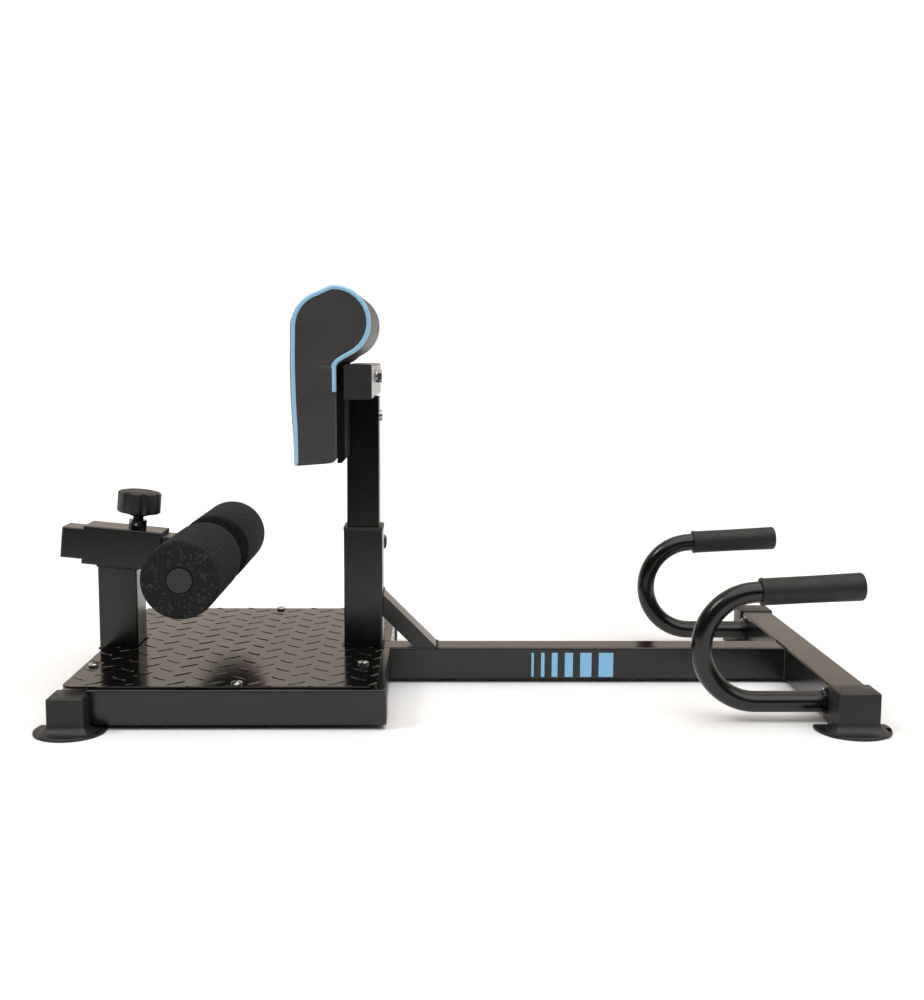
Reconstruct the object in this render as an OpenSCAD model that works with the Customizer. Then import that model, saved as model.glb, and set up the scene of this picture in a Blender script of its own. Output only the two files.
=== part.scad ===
// Roman chair: a sit-up and squat bench with a sliding foot roller, a pad on a
// telescopic post and two push-up handles. Lengths in millimetres, angles in degrees.
// +X runs towards the push-up handles, +Z up. The origin is on the floor, under the
// middle of the whole bench.

/* [Frame] */
// Distance from the pad post to the middle of the foot-end cross tube
foot_tube_reach = 387.5; // [350:0.5:480]
// Distance from the pad post to the middle of the handle-end cross tube
handle_tube_reach = 694; // [600:1:860]
// Overall length of the cross tubes, without their end caps
cross_tube_len = 588; // [500:1:720]
// Side of the square frame tube
frame_tube = 50; // [42:1:60]
// Wall of all frame tubes
tube_wall = 2; // [1.5:0.1:3]
// Corner radius of all square tubes
tube_corner = 3; // [1:0.5:5]
// Width of the foot-end cross tube
foot_tube_w = 44; // [36:1:50]
// Width of the handle-end cross tube
handle_tube_w = 52; // [44:1:62]
// How far the foot-end cross tube's top lies below the rails' tops
foot_drop = 7; // [5:1:12]
// Height of the tubes' undersides above the floor
sole = 7; // [4:0.5:12]
// Distance from each side rail's outer face to the cross tube's end
rail_inset = 25.7; // [20:0.1:60]
// Distance from the pad post to the rails' open ends
rail_overhang = 41.7; // [30:0.1:60]

/* [Tread plate] */
// Distance from each rail's outer face to the tread plate's edge
plate_inset = 8.3; // [4:0.1:20]
// Distance from the foot-end cross tube's outer face to the tread plate's edge
plate_foot_inset = 6.5; // [1:0.5:8]
// Thickness of the tread plate
plate_t = 3; // [2:0.5:5]
// Corner radius of the tread plate
plate_corner = 12; // [4:1:25]
// Gap between the tread plate and the posts that rise through it
plate_notch_gap = 3.5; // [2:0.5:8]
// Screw positions across the bench, at the foot end
screw_foot_y = 149; // [100:1:200]
// Screw positions across the bench, at the post end
screw_post_y = 136; // [100:1:200]
// Screw shank diameter
screw_d = 8; // [6:1:10]
// Screw head diameter
screw_head_d = 16; // [12:1:20]

/* [Posts and sleeves] */
// Outside of the square post sleeve and foot post
sleeve_tube = 60; // [50:1:75]
// Wall of the sleeves
sleeve_wall = 3; // [2:0.5:4]
// Height of the post sleeve's top above the floor
sleeve_top = 244; // [200:1:300]
// Wall of the plastic guide round the upper post
guide_wall = 1.8; // [1.2:0.1:2.6]
// Sliding gap between a tube and its plastic guide, each side
slide_gap = 0.2; // [0.1:0.05:0.5]
// Depth of each plastic guide in its sleeve
guide_depth = 22; // [15:1:30]
// Height of the visible rim of the post guide
guide_rim_h = 5; // [3:0.5:8]
// How far that rim stands out past the sleeve, each side
guide_rim_out = 0.6; // [0:0.1:4]
// Height of the upper post's lower end above the floor
upper_low = 140; // [130:1:160]
// Height of the pad cross bar's underside
bar_low = 451; // [420:1:520]
// Pitch of the height holes
height_pitch = 25; // [20:1:30]
// Height steps below the drawn setting
height_steps_down = 3; // [1:1:3]
// Height steps above the drawn setting
height_steps_up = 2; // [1:1:2]
// Depth of the height pin's axis below the sleeve top
pin_below_top = 33; // [30:1:40]

/* [Brace] */
// Height of the brace's upper edge on the sleeve, above the frame tubes
brace_rise = 86; // [60:1:120]
// Thickness of the brace tube, seen from the side
brace_t = 25; // [20:1:30]
// Width of the brace tube across the bench
brace_w = 50; // [30:1:60]

/* [Foot slider] */
// Distance from the foot-end cross tube to the slider sleeve's middle, towards the pad
slider_setback = 13.9; // [8:0.1:18]
// Height of the slider sleeve's middle
slider_z = 215; // [190:1:260]
// Slope of the slider, down towards the pad
slider_tilt = 5.5; // [0:0.5:10]
// Length of the slider sleeve
slider_sleeve_len = 119; // [100:1:150]
// Wall of the plastic guides round the slider tube
slider_guide_wall = 2.8; // [1.4:0.1:4]
// Slider tube from the sleeve's middle to its outer end
slider_tail = 94; // [90:1:130]
// Slider tube from the sleeve's middle to the roller bar
slider_nose = 131; // [125:1:170]
// Slider tube past the roller bar
slider_lap = 25; // [20:1:40]
// Pin position along the slider sleeve, from its middle
slider_pin_s = 16; // [0:1:25]
// Pitch of the slider holes
slider_pitch = 25; // [20:1:25]

/* [Foot rollers] */
// Outer diameter of the foam rollers
roller_d = 111; // [80:1:130]
// Overall length across both rollers
roller_span = 464; // [400:1:560]
// Gap between each foam roller's inner end and the side of the slider sleeve
roller_clear = 6; // [3:0.5:20]
// Diameter of the roller bar
roller_bar_d = 25; // [20:1:30]
// Wall of the plastic core inside each foam roller
roller_core_t = 3; // [2:0.5:5]
// Running gap round the roller bar
roller_play = 0.3; // [0.1:0.1:0.5]
// Diameter of the roller end caps
roller_cap_d = 35; // [32:1:50]
// Thickness of the roller end caps
roller_cap_t = 4; // [3:0.5:6]

/* [Pad] */
// Width of the pad across the bench
pad_w = 300; // [240:1:380]
// Length of the pad cross bar, with its plugs
bar_len = 300; // [240:1:380]
// How far the upper post stands out past the pad cross bar, each side
bar_step = 5; // [2:0.5:8]
// Height of the pad cross bar
bar_h = 50; // [40:1:60]
// Thickness of the pad's backing board
board_t = 11; // [9:0.5:18]
// Width of the backing board
board_w = 264; // [200:1:300]
// Height of the pad's lower edge above the floor
pad_low = 355; // [340:1:380]
// Height of the pad's top above the floor
pad_top = 613; // [600:1:660]
// Pad thickness at its lower edge
pad_foot_t = 62; // [45:1:70]
// Pad thickness at the middle of its front face
pad_mid_t = 68; // [55:1:80]
// Radius of the rolled head of the pad
pad_head_r = 52; // [40:1:58]
// Gap between soft pieces and their neighbours
soft_gap = 0.3; // [0.2:0.1:1]

/* [Push-up handles] */
// Distance from each handle to the cross tube's end
handle_inset = 66; // [66:1:110]
// Diameter of the handle tube
handle_d = 30; // [22:1:32]
// Radius of the handle's bend, at the tube's centre line
handle_bend_r = 79; // [65:1:95]
// Height of the handle's lower leg
handle_leg_z = 29; // [24:0.5:34]
// Straight lower leg, from the bend to the cross tube
handle_leg_len = 101; // [60:1:140]
// Rise of the grip towards its free end
handle_rise = 3.1; // [0:0.1:6]
// Straight tube between the bend and the grip
grip_start = 6.5; // [4:0.5:30]
// Length of the rubber grip
grip_len = 146; // [100:1:170]
// Diameter of the rubber grip
grip_d = 40; // [32:1:42]
// Length of the socket on the cross tube
socket_len = 7; // [6:1:30]
// Wall of the socket
socket_t = 3; // [2:0.5:4]

/* [Knobs and index pins] */
// Diameter of the star knobs
knob_d = 66; // [50:1:70]
// Height of the knob's rim
knob_rim_h = 33; // [14:1:36]
// Height of the knob's tapered skirt
knob_skirt_h = 5; // [4:1:14]
// Number of finger hollows round a knob
knob_lobes = 8; // [6:1:10]
// Width across flats of the welded nuts
nut_af = 24; // [22:1:27]
// Height of the welded nuts
nut_h = 13; // [11:1:18]
// Outside diameter of the threaded barrel
barrel_d = 16; // [13:0.2:18]
// Gap of the index pin in its holes, on diameter
pin_gap = 0.6; // [0.4:0.1:1.2]
// Travel of the pin into a hole, from the drawn setting
pin_in = 6; // [4:0.5:6]
// Travel of the pin outwards, from the drawn setting
pin_out = 5; // [3:0.5:5]
// Gap between the drawn pin tip and the tube it locks
tip_gap = 0.4; // [0.3:0.1:1]

/* [Caps] */
// Length of the foot caps along the cross tubes
cap_len = 50; // [40:1:60]
// Wall of the foot caps
cap_wall = 3.2; // [3:0.1:6]
// Skin of the foot caps over the tube, at the top
cap_roof = 2.5; // [2:0.5:5]
// How far the floor flange stands out past the cap
flange_out = 24; // [15:1:35]
// Half width of the floor flange past the cap's side
flange_side = 24; // [15:1:30]
// Thickness of the floor flange
flange_t = 4; // [3:0.5:6]
// Wall of the plastic tube plugs
plug_t = 3; // [2:0.5:4]
// Depth of the plastic tube plugs
plug_depth = 20; // [12:1:30]

/* [Hidden] */
$fn = 64;
fine = 96;
overlap = 1;
frame_top = sole + frame_tube;
plate_top = frame_top + plate_t;
foot_tube_h = frame_tube - foot_drop;
rail_span = cross_tube_len - 2 * rail_inset;
plate_w = rail_span - 2 * plate_inset;
handle_y = cross_tube_len / 2 - handle_inset;
slider_reach = foot_tube_reach - slider_setback;
upper_tube = sleeve_tube - 2 * (sleeve_wall + guide_wall + slide_gap);
slider_tube_side = sleeve_tube - 2 * (sleeve_wall + slider_guide_wall + slide_gap);
roller_gap = sleeve_tube + 2 * roller_clear;
bar_t = upper_tube - 2 * bar_step;
pin_tilt_sin = sin(slider_tilt);
pin_tilt_cos = cos(slider_tilt);
// extremes along X, measured from the pad post
tail_reach = slider_reach + slider_tail * pin_tilt_cos + slider_tube_side / 2 * pin_tilt_sin;
handle_cap_w = handle_tube_w + 2 * cap_wall;
nose_reach = handle_tube_reach + handle_cap_w / 2 + flange_side;
post_x = (tail_reach - nose_reach) / 2;
foot_x = post_x - foot_tube_reach;
handle_x = post_x + handle_tube_reach;
foot_tube_inner_x = foot_x + foot_tube_w / 2;
handle_tube_inner_x = handle_x - handle_tube_w / 2;
foot_tube_top = sole + foot_tube_h;
rail_end_x = post_x + rail_overhang;
// foot post stands a little towards the pad from the cross tube's middle
post_setback = 6.5;
foot_post_x = foot_x + post_setback;
slider_x = post_x - slider_reach;
plate_foot_x = foot_x - foot_tube_w / 2 + plate_foot_inset;
plate_post_x = post_x + sleeve_tube / 2;
// screws: two pairs on the side rails and the cross rails, one on the foot-end tube
screw_side_back = 163;
screw_post_on = 6;
screw_rail_inset = 20;
screw_side_x = post_x - screw_side_back;
screw_post_x = post_x + screw_post_on;
screw_side_y = rail_span / 2 - screw_rail_inset;
screw_head_h = 5.5;
screw_nut_h = 6;
screw_nut_af = 13;
screw_under = frame_top - foot_tube_top + tube_wall + screw_nut_h - overlap;
spacer_d = 18;
guide_outer = sleeve_tube - 2 * sleeve_wall;
guide_inner = upper_tube + 2 * slide_gap;
slider_guide_inner = slider_tube_side + 2 * slide_gap;
height_pin_z = sleeve_top - pin_below_top;
glide_h = 14;
// pin bodies, from the face of the tube that the nut is welded to
neck_h = 9;
barrel_top = nut_h + neck_h;
barrel_wall = 2;
lip_t = 2.5;
set_screw_d = 4.5;
stem_d = barrel_d - 9;
shoulder_d = barrel_d - 2 * barrel_wall - pin_gap;
pin_d = barrel_d - 6;
shoulder_t = 2.5;
knob_base = barrel_top - neck_h + pin_in + 0.6;
knob_recess_d = barrel_d + 1.4;
stem_in = neck_h + 10;
knob_neck_d = 30;
hole_d = pin_d + pin_gap;
roller_bar_half = roller_span / 2 - roller_cap_t;
board_front_x = post_x - bar_t / 2 - board_t;
board_groove = upper_tube / 2 - bar_t / 2 + soft_gap;
board_low = pad_low + 3;
board_top = bar_low + bar_h - 3;
bolt_d = 10;
bolt_head_af = 17;
bolt_head_h = 6.4;
washer_t = 2;
washer_d = 20;
post_bolt_z = bar_low - 30;
bar_bolt_z = bar_low + bar_h * 0.62;
button_h = 4;
button_d = 17;
insert_d = 14;
decal_t = 0.3;
decal_h = frame_tube - 2 * tube_corner - 5;
decal_z = sole + tube_corner;
decal_start = 264.7;
decal_gap = 11.5;
decal_w = [3.7, 5.5, 9.2, 12.8, 18, 23];

black = [0.05, 0.05, 0.05];
rubber = [0.11, 0.11, 0.11];

// ---- shared shapes ----

// square-cornered outline with rounded corners, centred
module round_rect(a, b, r) {
    corner = min(r, min(a, b) / 2 - 0.1);
    union() {
        square([a - 2 * corner, b], center = true);
        square([a, b - 2 * corner], center = true);
        for (sx = [-1, 1], sy = [-1, 1])
            translate([sx * (a / 2 - corner), sy * (b / 2 - corner)]) circle(corner);
    }
}

// hollow tube outline, its inner corners rounded by what the wall leaves
module tube_outline(a, b, wall, r) {
    difference() {
        round_rect(a, b, r);
        round_rect(a - 2 * wall, b - 2 * wall, max(r - wall, 0.5));
    }
}

// hollow tube along X from x = 0, its section's Y size a and Z size b
module tube_x(len, a, b, wall) {
    rotate([90, 0, 90]) linear_extrude(len) tube_outline(a, b, wall, tube_corner);
}

// hollow tube along Y, centred, its section's X size a and Z size b
module tube_y(len, a, b, wall) {
    translate([0, len / 2, 0]) rotate([90, 0, 0])
        linear_extrude(len) tube_outline(a, b, wall, tube_corner);
}

// hollow tube along Z from z = 0, its section's X size a and Y size b
module tube_z(len, a, b, wall) {
    linear_extrude(len) tube_outline(a, b, wall, tube_corner);
}

module round_bar_x(len, d) { rotate([0, 90, 0]) cylinder(h = len, d = d, $fn = fine); }
module round_bar_y(len, d) { rotate([90, 0, 0]) cylinder(h = len, d = d, center = true, $fn = fine); }

// hexagon with the given width across flats
module hexagon(af, h) { cylinder(h = h, d = af / cos(30), $fn = 6); }

// plastic plug for a tube that ends at x = 0 and runs towards +X
module plug_x(a, b, wall) {
    translate([-plug_t, 0, 0]) rotate([90, 0, 90]) linear_extrude(plug_t) round_rect(a, b, tube_corner);
    rotate([90, 0, 90]) linear_extrude(plug_depth)
        tube_outline(a - 2 * wall - slide_gap, b - 2 * wall - slide_gap, plug_t, 1);
}

// points on an arc, from angle a0 to a1
function arc(cx, cy, r, a0, a1, n) =
    [for (i = [0 : n]) [cx + r * cos(a0 + (a1 - a0) * i / n), cy + r * sin(a0 + (a1 - a0) * i / n)]];

// places its children in the slider's own frame: X along the slider, Z off its top
module on_slider() { translate([slider_x, 0, slider_z]) rotate([0, slider_tilt, 0]) children(); }
// stands its children on the top face of the slider sleeve, at the slider pin
module on_slider_pin() { on_slider() translate([slider_pin_s, 0, sleeve_tube / 2]) children(); }
// stands its children on the far face of the post sleeve, at the height pin
module on_height_pin() {
    translate([post_x, sleeve_tube / 2, height_pin_z]) rotate([-90, 0, 0]) children();
}

// ---- base frame ----

module main_beam() {
    color(black) translate([foot_tube_inner_x, 0, sole + frame_tube / 2])
        tube_x(handle_tube_inner_x - foot_tube_inner_x, frame_tube, frame_tube, tube_wall);
}

module foot_cross_tube() {
    color(black) translate([foot_x, 0, sole + foot_tube_h / 2]) difference() {
        tube_y(cross_tube_len, foot_tube_w, foot_tube_h, tube_wall);
        for (s = [-1, 1]) translate([0, s * screw_foot_y, 0])
            cylinder(h = foot_tube_h, d = screw_d + pin_gap);
    }
}

module handle_cross_tube() {
    color(black) translate([handle_x, 0, sole + frame_tube / 2])
        tube_y(cross_tube_len, handle_tube_w, frame_tube, tube_wall);
}

module side_rail(side) {
    color(black) difference() {
        translate([foot_tube_inner_x, side * (rail_span - frame_tube) / 2, sole + frame_tube / 2])
            tube_x(rail_end_x - foot_tube_inner_x, frame_tube, frame_tube, tube_wall);
        translate([screw_side_x, side * screw_side_y, frame_top - frame_tube / 2])
            cylinder(h = frame_tube, d = screw_d + pin_gap);
    }
}
module side_rail_near() { side_rail(-1); }
module side_rail_far() { side_rail(1); }

// two short tubes from the main beam to the side rails, below the pad post
module post_cross_rails() {
    half = rail_span / 2 - frame_tube - frame_tube / 2;
    color(black) for (s = [-1, 1]) difference() {
        translate([rail_end_x - frame_tube / 2, s * (frame_tube / 2 + half / 2), sole + frame_tube / 2])
            tube_y(half, frame_tube, frame_tube, tube_wall);
        translate([screw_post_x, s * screw_post_y, frame_top - frame_tube / 2])
            cylinder(h = frame_tube, d = screw_d + pin_gap);
    }
}

module rail_plugs() {
    color(rubber) for (s = [-1, 1])
        translate([rail_end_x, s * (rail_span - frame_tube) / 2, sole + frame_tube / 2])
            rotate([0, 0, 180]) plug_x(frame_tube, frame_tube, tube_wall);
}

// steel packing that brings the foot-end tube up to the height of the rails
module foot_post_packing() {
    color(black) translate([foot_x - foot_tube_w / 2, -sleeve_tube / 2, foot_tube_top])
        cube([foot_tube_w, sleeve_tube, frame_top - foot_tube_top]);
}

// tube with its top cut to the slope of the slider sleeve that it carries
module foot_post() {
    color(black) difference() {
        translate([foot_post_x, 0, frame_top])
            tube_z(slider_z - frame_top, sleeve_tube, sleeve_tube, sleeve_wall);
        on_slider() translate([-slider_sleeve_len, -sleeve_tube, -sleeve_tube / 2])
            cube([2 * slider_sleeve_len, 2 * sleeve_tube, 2 * sleeve_tube]);
    }
}

module post_sleeve() {
    color(black) difference() {
        translate([post_x, 0, frame_top])
            tube_z(sleeve_top - frame_top, sleeve_tube, sleeve_tube, sleeve_wall);
        on_height_pin() translate([0, 0, -sleeve_tube / 2]) cylinder(h = sleeve_tube, d = barrel_d);
    }
}

// plastic guide in the sleeve's mouth, with a rim that covers the sleeve's edge
module post_guide() {
    rim = sleeve_tube + 2 * guide_rim_out;
    color(rubber) translate([post_x, 0, sleeve_top]) difference() {
        union() {
            translate([0, 0, -guide_depth]) linear_extrude(guide_depth)
                round_rect(guide_outer, guide_outer, 1);
            linear_extrude(guide_rim_h) round_rect(rim, rim, tube_corner + 1);
        }
        translate([0, 0, -guide_depth - overlap])
            linear_extrude(guide_depth + guide_rim_h + 2 * overlap)
                round_rect(guide_inner, guide_inner, tube_corner);
    }
}

// slanted tube from the post sleeve down to the main beam
module brace() {
    x0 = post_x + sleeve_tube / 2;
    slant = brace_t * sqrt(2);
    skin = tube_wall * sqrt(2);
    profile = [[x0, frame_top + brace_rise], [x0, frame_top + brace_rise - slant],
               [x0 + brace_rise - slant, frame_top], [x0 + brace_rise, frame_top]];
    hollow = [[x0 - overlap, frame_top + brace_rise - skin + overlap],
              [x0 - overlap, frame_top + brace_rise - slant + skin + overlap],
              [x0 + brace_rise - slant + skin + overlap, frame_top - overlap],
              [x0 + brace_rise - skin + overlap, frame_top - overlap]];
    color(black) rotate([90, 0, 0]) difference() {
        linear_extrude(brace_w, center = true) polygon(profile);
        linear_extrude(brace_w - 2 * tube_wall, center = true) polygon(hollow);
    }
}

module tread_outline() {
    len = plate_post_x - plate_foot_x;
    difference() {
        translate([plate_foot_x + len / 2, 0]) round_rect(len, plate_w, plate_corner);
        translate([foot_post_x, 0])
            square(sleeve_tube + 2 * plate_notch_gap, center = true);
        translate([plate_foot_x - overlap, -sleeve_tube / 2 - plate_notch_gap])
            square([foot_post_x - plate_foot_x, sleeve_tube + 2 * plate_notch_gap]);
        translate([post_x - sleeve_tube / 2 - plate_notch_gap, -sleeve_tube / 2 - plate_notch_gap])
            square(sleeve_tube + 2 * plate_notch_gap);
        screw_places() circle(d = screw_d + pin_gap);
    }
}

module screw_places() {
    for (s = [-1, 1]) {
        translate([foot_x, s * screw_foot_y, 0]) children();
        translate([screw_side_x, s * screw_side_y, 0]) children();
        translate([screw_post_x, s * screw_post_y, 0]) children();
    }
}

module tread_plate() {
    color([0.1, 0.1, 0.1]) translate([0, 0, frame_top]) linear_extrude(plate_t) tread_outline();
}

// rings that fill the gap between the plate and the lower foot-end tube
module plate_spacers() {
    color("silver") for (s = [-1, 1]) translate([foot_x, s * screw_foot_y, foot_tube_top])
        difference() {
            cylinder(h = frame_top - foot_tube_top, d = spacer_d);
            translate([0, 0, -overlap])
                cylinder(h = frame_top - foot_tube_top + 2 * overlap, d = screw_d + pin_gap);
        }
}

// button-head screws with a hexagon socket
module plate_screws() {
    socket_d = 5;
    color("silver") screw_places() translate([0, 0, plate_top]) difference() {
        union() {
            intersection() {
                cylinder(h = screw_head_h, d = screw_head_d);
                translate([0, 0, screw_head_h - 14]) sphere(14, $fn = fine);
            }
            translate([0, 0, -screw_under - plate_t]) cylinder(h = screw_under + plate_t, d = screw_d);
        }
        translate([0, 0, screw_head_h - 2.5]) cylinder(h = 3, d = socket_d / cos(30), $fn = 6);
    }
}

// nuts under the top wall of each tube
module plate_nuts() {
    color("silver") for (s = [-1, 1]) {
        translate([foot_x, s * screw_foot_y, foot_tube_top - tube_wall - screw_nut_h]) plate_nut();
        translate([screw_side_x, s * screw_side_y, frame_top - tube_wall - screw_nut_h]) plate_nut();
        translate([screw_post_x, s * screw_post_y, frame_top - tube_wall - screw_nut_h]) plate_nut();
    }
}

module plate_nut() {
    difference() {
        hexagon(screw_nut_af, screw_nut_h);
        translate([0, 0, -overlap]) cylinder(h = screw_nut_h + 2 * overlap, d = screw_d + slide_gap);
    }
}

// six upright bars of widening width, stuck on the beam's near face
function bars_before(i) = i == 0 ? 0 : bars_before(i - 1) + decal_w[i - 1] + decal_gap;
module beam_bars() {
    color([0.5, 0.78, 0.93]) for (i = [0 : len(decal_w) - 1])
        translate([post_x + decal_start + bars_before(i), -frame_tube / 2 - decal_t, decal_z])
            cube([decal_w[i], decal_t, decal_h]);
}

// cap on a cross tube's end, on a D-shaped flange that stands on the floor;
// drawn at the end of a tube that runs towards +Y, the cap's outer face at y = 0, and
// cut away on its +X side past y = rail_y where a rail meets the tube
module foot_cap(tube_w, tube_top, rail_y) {
    w = tube_w + 2 * cap_wall;
    r = w / 2 + flange_side;
    top = tube_top + cap_roof;
    color(rubber) difference() {
        union() {
            translate([0, cap_len / 2, 0]) linear_extrude(top) round_rect(w, cap_len, 2);
            linear_extrude(flange_t) flange_outline(r);
            hull() {
                translate([0, 0, flange_t]) linear_extrude(0.1) flange_outline(r - 9);
                translate([0, cap_len / 2, 12]) linear_extrude(1) round_rect(w + 5, cap_len - 6, 3);
            }
            hull() {
                translate([0, cap_len / 2, 11]) linear_extrude(1) round_rect(w + 6, cap_len - 5, 3);
                translate([0, cap_len / 2, 22]) linear_extrude(1) round_rect(w, cap_len - 2, 2);
            }
        }
        translate([-tube_w / 2 - slide_gap, cap_wall, sole])
            cube([tube_w + 2 * slide_gap, cap_len + r, tube_top - sole + slide_gap]);
        translate([tube_w / 2 - slide_gap, rail_y - soft_gap, sole - soft_gap])
            cube([r, cap_len + r, top]);
    }
}

module flange_outline(r) {
    straight = 0.85 * cap_len;
    intersection() {
        translate([0, r - flange_out]) circle(r, $fn = fine);
        translate([-2 * r, straight - 4 * r]) square(4 * r);
    }
}

cap_y = cross_tube_len / 2 + cap_wall;
// places its children at the near end of a cross tube for side -1, mirrored at the far end for 1
module at_tube_end(x, side) {
    translate([x, side * cap_y, 0])
        if (side > 0) mirror([0, 1, 0]) children(); else children();
}
module foot_end_cap(side) {
    at_tube_end(foot_x, side) foot_cap(foot_tube_w, foot_tube_top, cap_y - rail_span / 2);
}
module handle_end_cap(side) { at_tube_end(handle_x, side) foot_cap(handle_tube_w, frame_top, 2 * cap_len); }
module foot_cap_a() { foot_end_cap(-1); }
module foot_cap_b() { foot_end_cap(1); }
module foot_cap_c() { handle_end_cap(-1); }
module foot_cap_d() { handle_end_cap(1); }

// ---- foot slider ----

module slider_sleeve() {
    color(black) on_slider() difference() {
        translate([-slider_sleeve_len / 2, 0, 0])
            tube_x(slider_sleeve_len, sleeve_tube, sleeve_tube, sleeve_wall);
        translate([slider_pin_s, 0, 0]) cylinder(h = sleeve_tube, d = barrel_d);
    }
}

// plastic guides, flush in both mouths of the slider sleeve
module slider_guides() {
    color(rubber) on_slider() for (s = [-1, 1])
        translate([s * (slider_sleeve_len - guide_depth) / 2 - guide_depth / 2, 0, 0])
            rotate([90, 0, 90]) linear_extrude(guide_depth) difference() {
                round_rect(guide_outer, guide_outer, 1);
                round_rect(slider_guide_inner, slider_guide_inner, tube_corner);
            }
}

// ---- index pins: one in the post sleeve, one in the slider sleeve ----

module weld_nut() {
    color(black) difference() {
        hexagon(nut_af, nut_h);
        translate([0, 0, -overlap]) cylinder(h = nut_h + 2 * overlap, d = barrel_d);
        translate([0, -nut_af / 2, nut_h / 2]) round_bar_y(nut_af - barrel_d, set_screw_d);
    }
}

// short screw in one flat of a nut, which locks the barrel
module set_screw() {
    translate([0, -(nut_af + barrel_d) / 4, nut_h / 2])
        round_bar_y((nut_af - barrel_d) / 2, set_screw_d);
}

// threaded barrel, from inside the sleeve's wall to the neck below the knob
module pin_barrel() {
    bore = barrel_d - 2 * barrel_wall;
    color("dimgray") difference() {
        translate([0, 0, -sleeve_wall]) cylinder(h = sleeve_wall + barrel_top, d = barrel_d);
        translate([0, 0, -sleeve_wall - overlap])
            cylinder(h = sleeve_wall + overlap + barrel_top - lip_t, d = bore);
        cylinder(h = barrel_top + overlap, d = stem_d + pin_gap);
    }
}

// index pin: tip, spring shoulder and stem, tip clear of the inner tube
module index_pin(tube_face) {
    tip = tube_face + tip_gap;
    shoulder = pin_in + slide_gap - sleeve_wall + 1;
    color("silver") {
        translate([0, 0, tip]) cylinder(h = shoulder - tip + 0.1, d = pin_d);
        translate([0, 0, shoulder]) cylinder(h = shoulder_t, d = shoulder_d);
        translate([0, 0, shoulder]) cylinder(h = knob_base + stem_in - shoulder, d = stem_d);
    }
}

// spring round the stem, drawn at its shortest, riding on the shoulder
module pin_spring() {
    wire = 1.3;
    seat = pin_in + slide_gap - sleeve_wall + 1 + shoulder_t + 0.1;
    length = barrel_top - lip_t - pin_out - 0.4 - seat;
    turns = max(3, floor(length / wire / 1.6));
    step = (length - wire) / (turns - 1);
    mean_r = (stem_d + pin_gap) / 2 + wire / 2 + 0.1;
    color("gray") for (i = [0 : turns - 1]) translate([0, 0, seat + wire / 2 + i * step])
        rotate_extrude($fn = 48) translate([mean_r, 0]) circle(d = wire, $fn = 16);
    color("gray") translate([mean_r - wire / 4, -wire / 4, seat + wire / 4])
        cube([wire / 2, wire / 2, length - wire / 2]);
}

// star knob with finger hollows, over the barrel's end
module star_knob() {
    rim_z = knob_base + knob_skirt_h;
    hollow_r = knob_d * 0.11;
    color(rubber) difference() {
        union() {
            translate([0, 0, knob_base]) cylinder(h = knob_skirt_h, d1 = knob_neck_d, d2 = knob_d * 0.78);
            translate([0, 0, rim_z]) cylinder(h = knob_rim_h, d = knob_d, $fn = fine);
            translate([0, 0, rim_z + knob_rim_h])
                cylinder(h = 2, d1 = knob_d * 0.86, d2 = knob_d * 0.8, $fn = fine);
        }
        for (i = [0 : knob_lobes - 1]) rotate([0, 0, (i + 0.5) * 360 / knob_lobes])
            translate([knob_d / 2 + hollow_r * 0.62, 0, knob_base - overlap])
                cylinder(h = knob_skirt_h + knob_rim_h + 4, r = hollow_r);
        translate([0, 0, knob_base - overlap])
            cylinder(h = neck_h + 0.5 + overlap, d = knob_recess_d);
        translate([0, 0, knob_base]) cylinder(h = stem_in, d = stem_d);
    }
}

height_tube_face = upper_tube / 2 - sleeve_tube / 2;
slider_tube_face = slider_tube_side / 2 - sleeve_tube / 2;
module height_nut() { on_height_pin() weld_nut(); }
module nut_set_screws() {
    color("silver") on_height_pin() set_screw();
    color("silver") on_slider_pin() set_screw();
}
module height_barrel() { on_height_pin() pin_barrel(); }
module height_pin() { on_height_pin() index_pin(height_tube_face); }
module height_spring() { on_height_pin() pin_spring(); }
module height_knob() { on_height_pin() star_knob(); }
module slider_nut() { on_slider_pin() weld_nut(); }
module slider_barrel() { on_slider_pin() pin_barrel(); }
module slider_pin() { on_slider_pin() index_pin(slider_tube_face); }
module slider_spring() { on_slider_pin() pin_spring(); }
module slider_knob() { on_slider_pin() star_knob(); }

// ---- pad post ----

module upper_post() {
    color(black) difference() {
        translate([post_x, 0, upper_low])
            tube_z(bar_low - upper_low, upper_tube, upper_tube, tube_wall);
        for (step = [-height_steps_up : height_steps_down])
            translate([post_x, 0, height_pin_z + step * height_pitch])
                rotate([-90, 0, 0]) cylinder(h = upper_tube, d = hole_d);
        translate([post_x - upper_tube, 0, post_bolt_z]) round_bar_x(2 * upper_tube, bolt_d + pin_gap);
    }
}

// plastic glide on the post's lower end, running in the sleeve
module post_glide() {
    outer = guide_outer - 2 * slide_gap;
    fit_in = upper_tube - 2 * tube_wall - slide_gap;
    color(rubber) translate([post_x, 0, upper_low]) {
        translate([0, 0, -plug_t]) linear_extrude(plug_t) round_rect(outer, outer, 1);
        linear_extrude(glide_h) tube_outline(fit_in, fit_in, plug_t, 1);
    }
}

module pad_bar() {
    color(black) difference() {
        translate([post_x, 0, bar_low + bar_h / 2])
            tube_y(bar_len - 2 * plug_t, bar_t, bar_h, tube_wall);
        translate([post_x - bar_t, 0, bar_bolt_z]) round_bar_x(2 * bar_t, bolt_d + pin_gap);
    }
}

module bar_plugs() {
    color(rubber) for (s = [0, 180]) translate([post_x, 0, bar_low + bar_h / 2])
        rotate([0, 0, 90 + s]) translate([-bar_len / 2 + plug_t, 0, 0])
            plug_x(bar_t, bar_h, tube_wall);
}

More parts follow.
